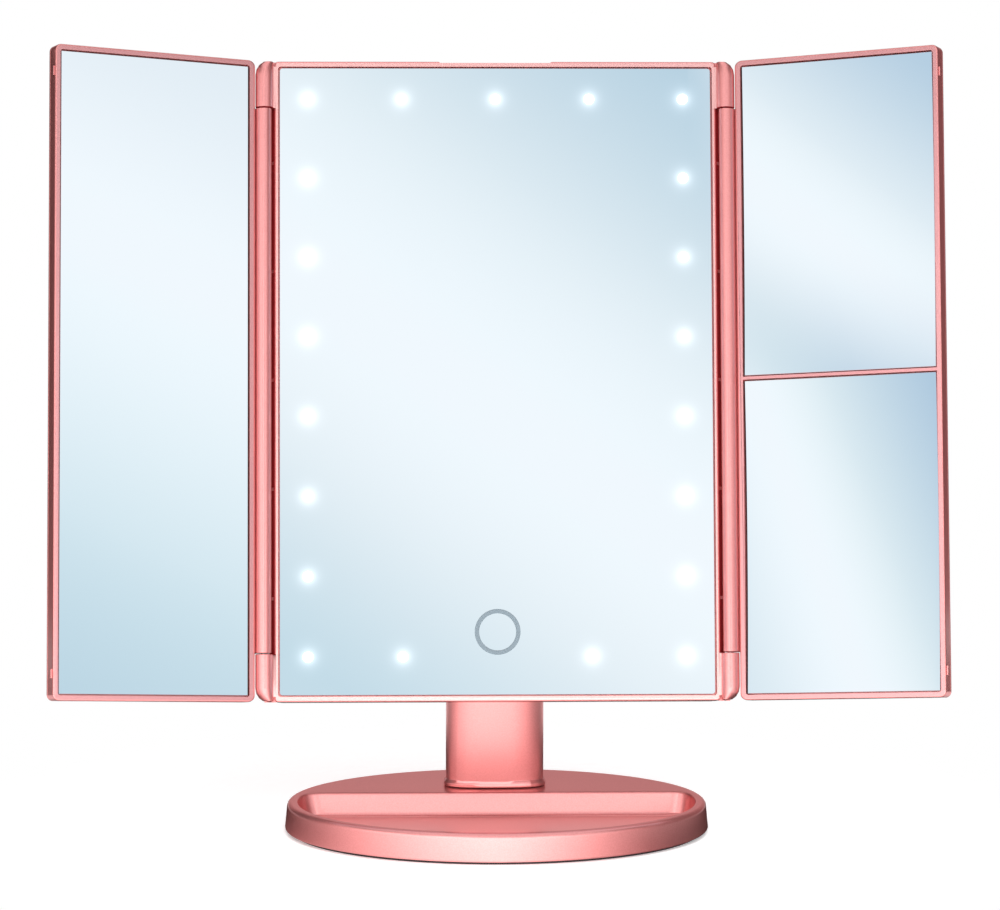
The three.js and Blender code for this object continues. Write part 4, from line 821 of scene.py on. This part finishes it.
def make_camera():
    data = bpy.data.cameras.new("camera")
    made = bpy.data.objects.new("camera", data)
    bpy.context.scene.collection.objects.link(made)
    data.sensor_fit = "HORIZONTAL"
    data.sensor_width = CAMERA_SENSOR
    data.lens = CAMERA_LENS
    data.clip_end = CAMERA_FAR
    ahead = Vector((
        math.sin(CAMERA_YAW) * math.cos(CAMERA_PITCH), math.cos(CAMERA_YAW) * math.cos(CAMERA_PITCH),
        -math.sin(CAMERA_PITCH)))
    side = ahead.cross(Vector((0, 0, 1))).normalized()
    up = side.cross(ahead)
    right = side * math.cos(CAMERA_ROLL) + up * math.sin(CAMERA_ROLL)
    top = up * math.cos(CAMERA_ROLL) - side * math.sin(CAMERA_ROLL)
    turn = Matrix((right, top, -ahead)).transposed().to_4x4()
    made.matrix_world = Matrix.Translation(CAMERA_PLACE) @ turn
    bpy.context.scene.camera = made


def soft_edge(tree, place, size):
    """One inside a card, fading to nothing at its edges; the fade is a long one for the mirror plates."""
    sharp = mirror_rays(tree)
    sides = []
    for axis, length in zip("XY", size):
        away = calc(tree, "ABSOLUTE", place[axis])
        start = length / 2 - CARD_FADE + CARD_MARGIN
        end = calc(tree, "MULTIPLY_ADD", sharp, CARD_FADE - CARD_MARGIN, start)
        sides.append(smooth(tree, away, start - CARD_MARGIN / 2, end, 1.0, 0.0))
    return calc(tree, "MULTIPLY", *sides)


def card(name, turn, size, factors, stops):
    """A glowing card, whose colour follows the sum of the factors times its X, its Y and 1."""
    made, tree = stage_material(name)
    place = add(tree, "SeparateXYZ", Vector=object_place(tree)).outputs
    along, up, shift = factors
    share = calc(tree, "MULTIPLY_ADD", place["X"], along, shift)
    share = calc(tree, "MULTIPLY_ADD", place["Y"], up, share)
    glow = add(tree, "Emission", Color=ramp(tree, share, stops, "CARDINAL"), Strength=1.0).outputs[0]
    add(tree, "OutputMaterial", Surface=blend(tree, soft_edge(tree, place, size), clear(tree), glow))
    half_width, half_height = size[0] / 2, size[1] / 2
    corners = [(-half_width, -half_height, 0), (half_width, -half_height, 0),
               (half_width, half_height, 0), (-half_width, half_height, 0)]
    piece = stage_piece(name, corners, [(0, 1, 2, 3)], made)
    piece.matrix_world = turn
    only_in_reflections(piece)


def without_tint(colour):
    """The light that the silvered glass turns into this colour."""
    return tuple(c / t for c, t in zip(linear(colour)[:3], linear(SILVER_TINT)[:3])) + (1,)


def graded_card(name, matrix, span_x, span_z, radius, angle, stops):
    """A card where the camera sees it in one mirror, with its colours running across the plate at an angle.

    The stops are distances in mm along that angle from the plate's own origin, and the colours seen there.
    """
    middle_x, middle_z = sum(span_x) / 2, sum(span_z) / 2

    def seen(x, z):
        facing = Vector((0, -1, 0))
        if radius:
            facing = Vector((-(x - middle_x) / radius, -1, -(z - middle_z) / radius)).normalized()
        place = matrix @ Vector((x, GLASS_FRONT, z))
        normal = (matrix.to_3x3() @ facing).normalized()
        view = (place - CAMERA_PLACE).normalized()
        return place, view - 2 * view.dot(normal) * normal

    middle, ray = seen(middle_x, middle_z)
    across = Vector((0, 0, 1)).cross(ray).normalized()
    up = ray.cross(across)
    origin = middle + CARD_REACH * ray
    found = []
    for x in span_x:
        for z in span_z:
            place, way = seen(x, z)
            hit = place + way * ((origin - place).dot(ray) / way.dot(ray)) - origin
            found.append((hit.dot(across), hit.dot(up), x * math.cos(angle) + z * math.sin(angle)))
    size = [2 * max(abs(corner[i]) for corner in found) + 2 * CARD_FADE for i in (0, 1)]
    turn = Matrix((across, up, ray)).transposed().to_4x4()
    turn.translation = origin
    # The distance along the angle is near enough a plane over the card: it is fitted to three of the corners.
    corners = Matrix([(x, y, 1) for x, y, _ in found[:3]])
    plane = corners.inverted() @ Vector([along for _, _, along in found[:3]])
    first, last = stops[0][0] * MM, stops[-1][0] * MM
    factors = (plane[0] / (last - first), plane[1] / (last - first), (plane[2] - first) / (last - first))
    shades = [((at * MM - first) / (last - first), without_tint(colour)) for at, colour in stops]
    card(name, turn, size, factors, shades)


def cloth_colour(level):
    share = level / TENT_LEVEL
    rosy = DARK_ROSE * (1 - share) ** DARK_ROSE_POWER
    return (share, share * (1 - WARM_GREEN * share - rosy), share * (1 - WARM_BLUE * share - rosy), 1)


def cloth_shade(tree, place, cloth):
    """Colour of the cloth by the direction in which a point lies from the object."""
    ahead = calc(tree, "MULTIPLY", place["Y"], -1.0)
    turn = calc(tree, "ARCTAN2", place["X"], ahead)
    share = add(tree, "MapRange", Value=turn, From_Min=-math.pi, From_Max=math.pi).outputs[0]
    return ramp(tree, share, [(azimuth / 360 + 0.5, cloth_colour(level)) for azimuth, level in cloth])


def light_tent():
    """The cloth round the object, which the mirror plates don't show."""
    made, tree = stage_material("tent_cloth")
    place = add(tree, "SeparateXYZ", Vector=object_place(tree)).outputs
    level = smooth(tree, place["Z"], TENT_DIM_FROM, TENT_DIM_TO, TENT_LEVEL, TENT_LEVEL * TENT_DIM)
    glow = add(tree, "Emission", Color=cloth_shade(tree, place, TENT_CLOTH), Strength=level).outputs[0]
    add(tree, "OutputMaterial", Surface=blend(tree, mirror_rays(tree), glow, clear(tree)))
    points = [(TENT_RADIUS * math.sin(turn), -TENT_RADIUS * math.cos(turn), z)
              for z in (0, TENT_HEIGHT) for turn in TURNS]
    only_in_reflections(stage_piece("light_tent", points, band_faces(), made))


def mirrored_table():
    """The table that the lacquer mirrors, which neither the mirror plates nor a view from below show."""
    made, tree = stage_material("table_in_reflections")
    point = object_place(tree)
    place = add(tree, "SeparateXYZ", Vector=point).outputs
    away = distance(tree, point)
    outer = smooth(tree, away, DARK_TABLE, OPEN_TABLE, 0.0, OPEN_LEVEL / TENT_LEVEL)
    inside = smooth(tree, calc(tree, "ABSOLUTE", place["X"]), OPEN_NARROW, OPEN_WIDE, 1.0, 0.0)
    opened = calc(tree, "MULTIPLY", outer, inside)
    shade = add(tree, "VectorMath", {"operation": "MAXIMUM"}, _0=cloth_shade(tree, place, MIRRORED_CLOTH),
                _1=opened).outputs[0]
    strength = smooth(tree, away, NEAR_TABLE, FAR_TABLE, NEAR_LEVEL * TENT_LEVEL, FAR_LEVEL * TENT_LEVEL)
    glow = add(tree, "Emission", Color=shade, Strength=strength).outputs[0]
    unseen = calc(tree, "MAXIMUM", underside(tree), mirror_rays(tree))
    add(tree, "OutputMaterial", Surface=blend(tree, unseen, glow, clear(tree)))
    only_in_reflections(table_sheet("table_in_reflections", MIRRORED_REACH, MIRRORED_DROP, made))


make_room()
make_table()
make_camera()
for name, setup in SOFTBOXES.items():
    softbox(name, *setup)
graded_card("centre_card", HEAD, (-GLASS_HALF, GLASS_HALF), WHOLE_PLATE, 0, math.radians(54), (
    (-30, "#C4DCE8"), (30, "#E3EFF6"), (96, "#F0F9FF"), (163, "#DDEBF3"), (235, "#B8D2E2")))
graded_card("left_card", wing_place(-1), WING_SPAN, WHOLE_PLATE, 0, math.radians(114), (
    (-30, "#BCD6E4"), (35, "#D5E8F1"), (128, "#F0F9FF"), (215, "#E2EDF5")))
graded_card("right_upper_card", wing_place(1), WING_SPAN, UPPER_PLATE, UPPER_DISH, math.radians(51), (
    (95, "#BAD4E2"), (127, "#DEEBF3"), (157, "#F0F9FF"), (188, "#E0EDF5"), (235, "#B6CFE2")))
graded_card("right_lower_card", wing_place(1), WING_SPAN, LOWER_PLATE, LOWER_DISH, math.radians(21), (
    (5, "#D8E8F1"), (50, "#F0F9FF"), (80, "#D9E9F1"), (118, "#B0CADF")))
light_tent()
mirrored_table()

bpy.context.scene.view_settings.view_transform = "Standard"
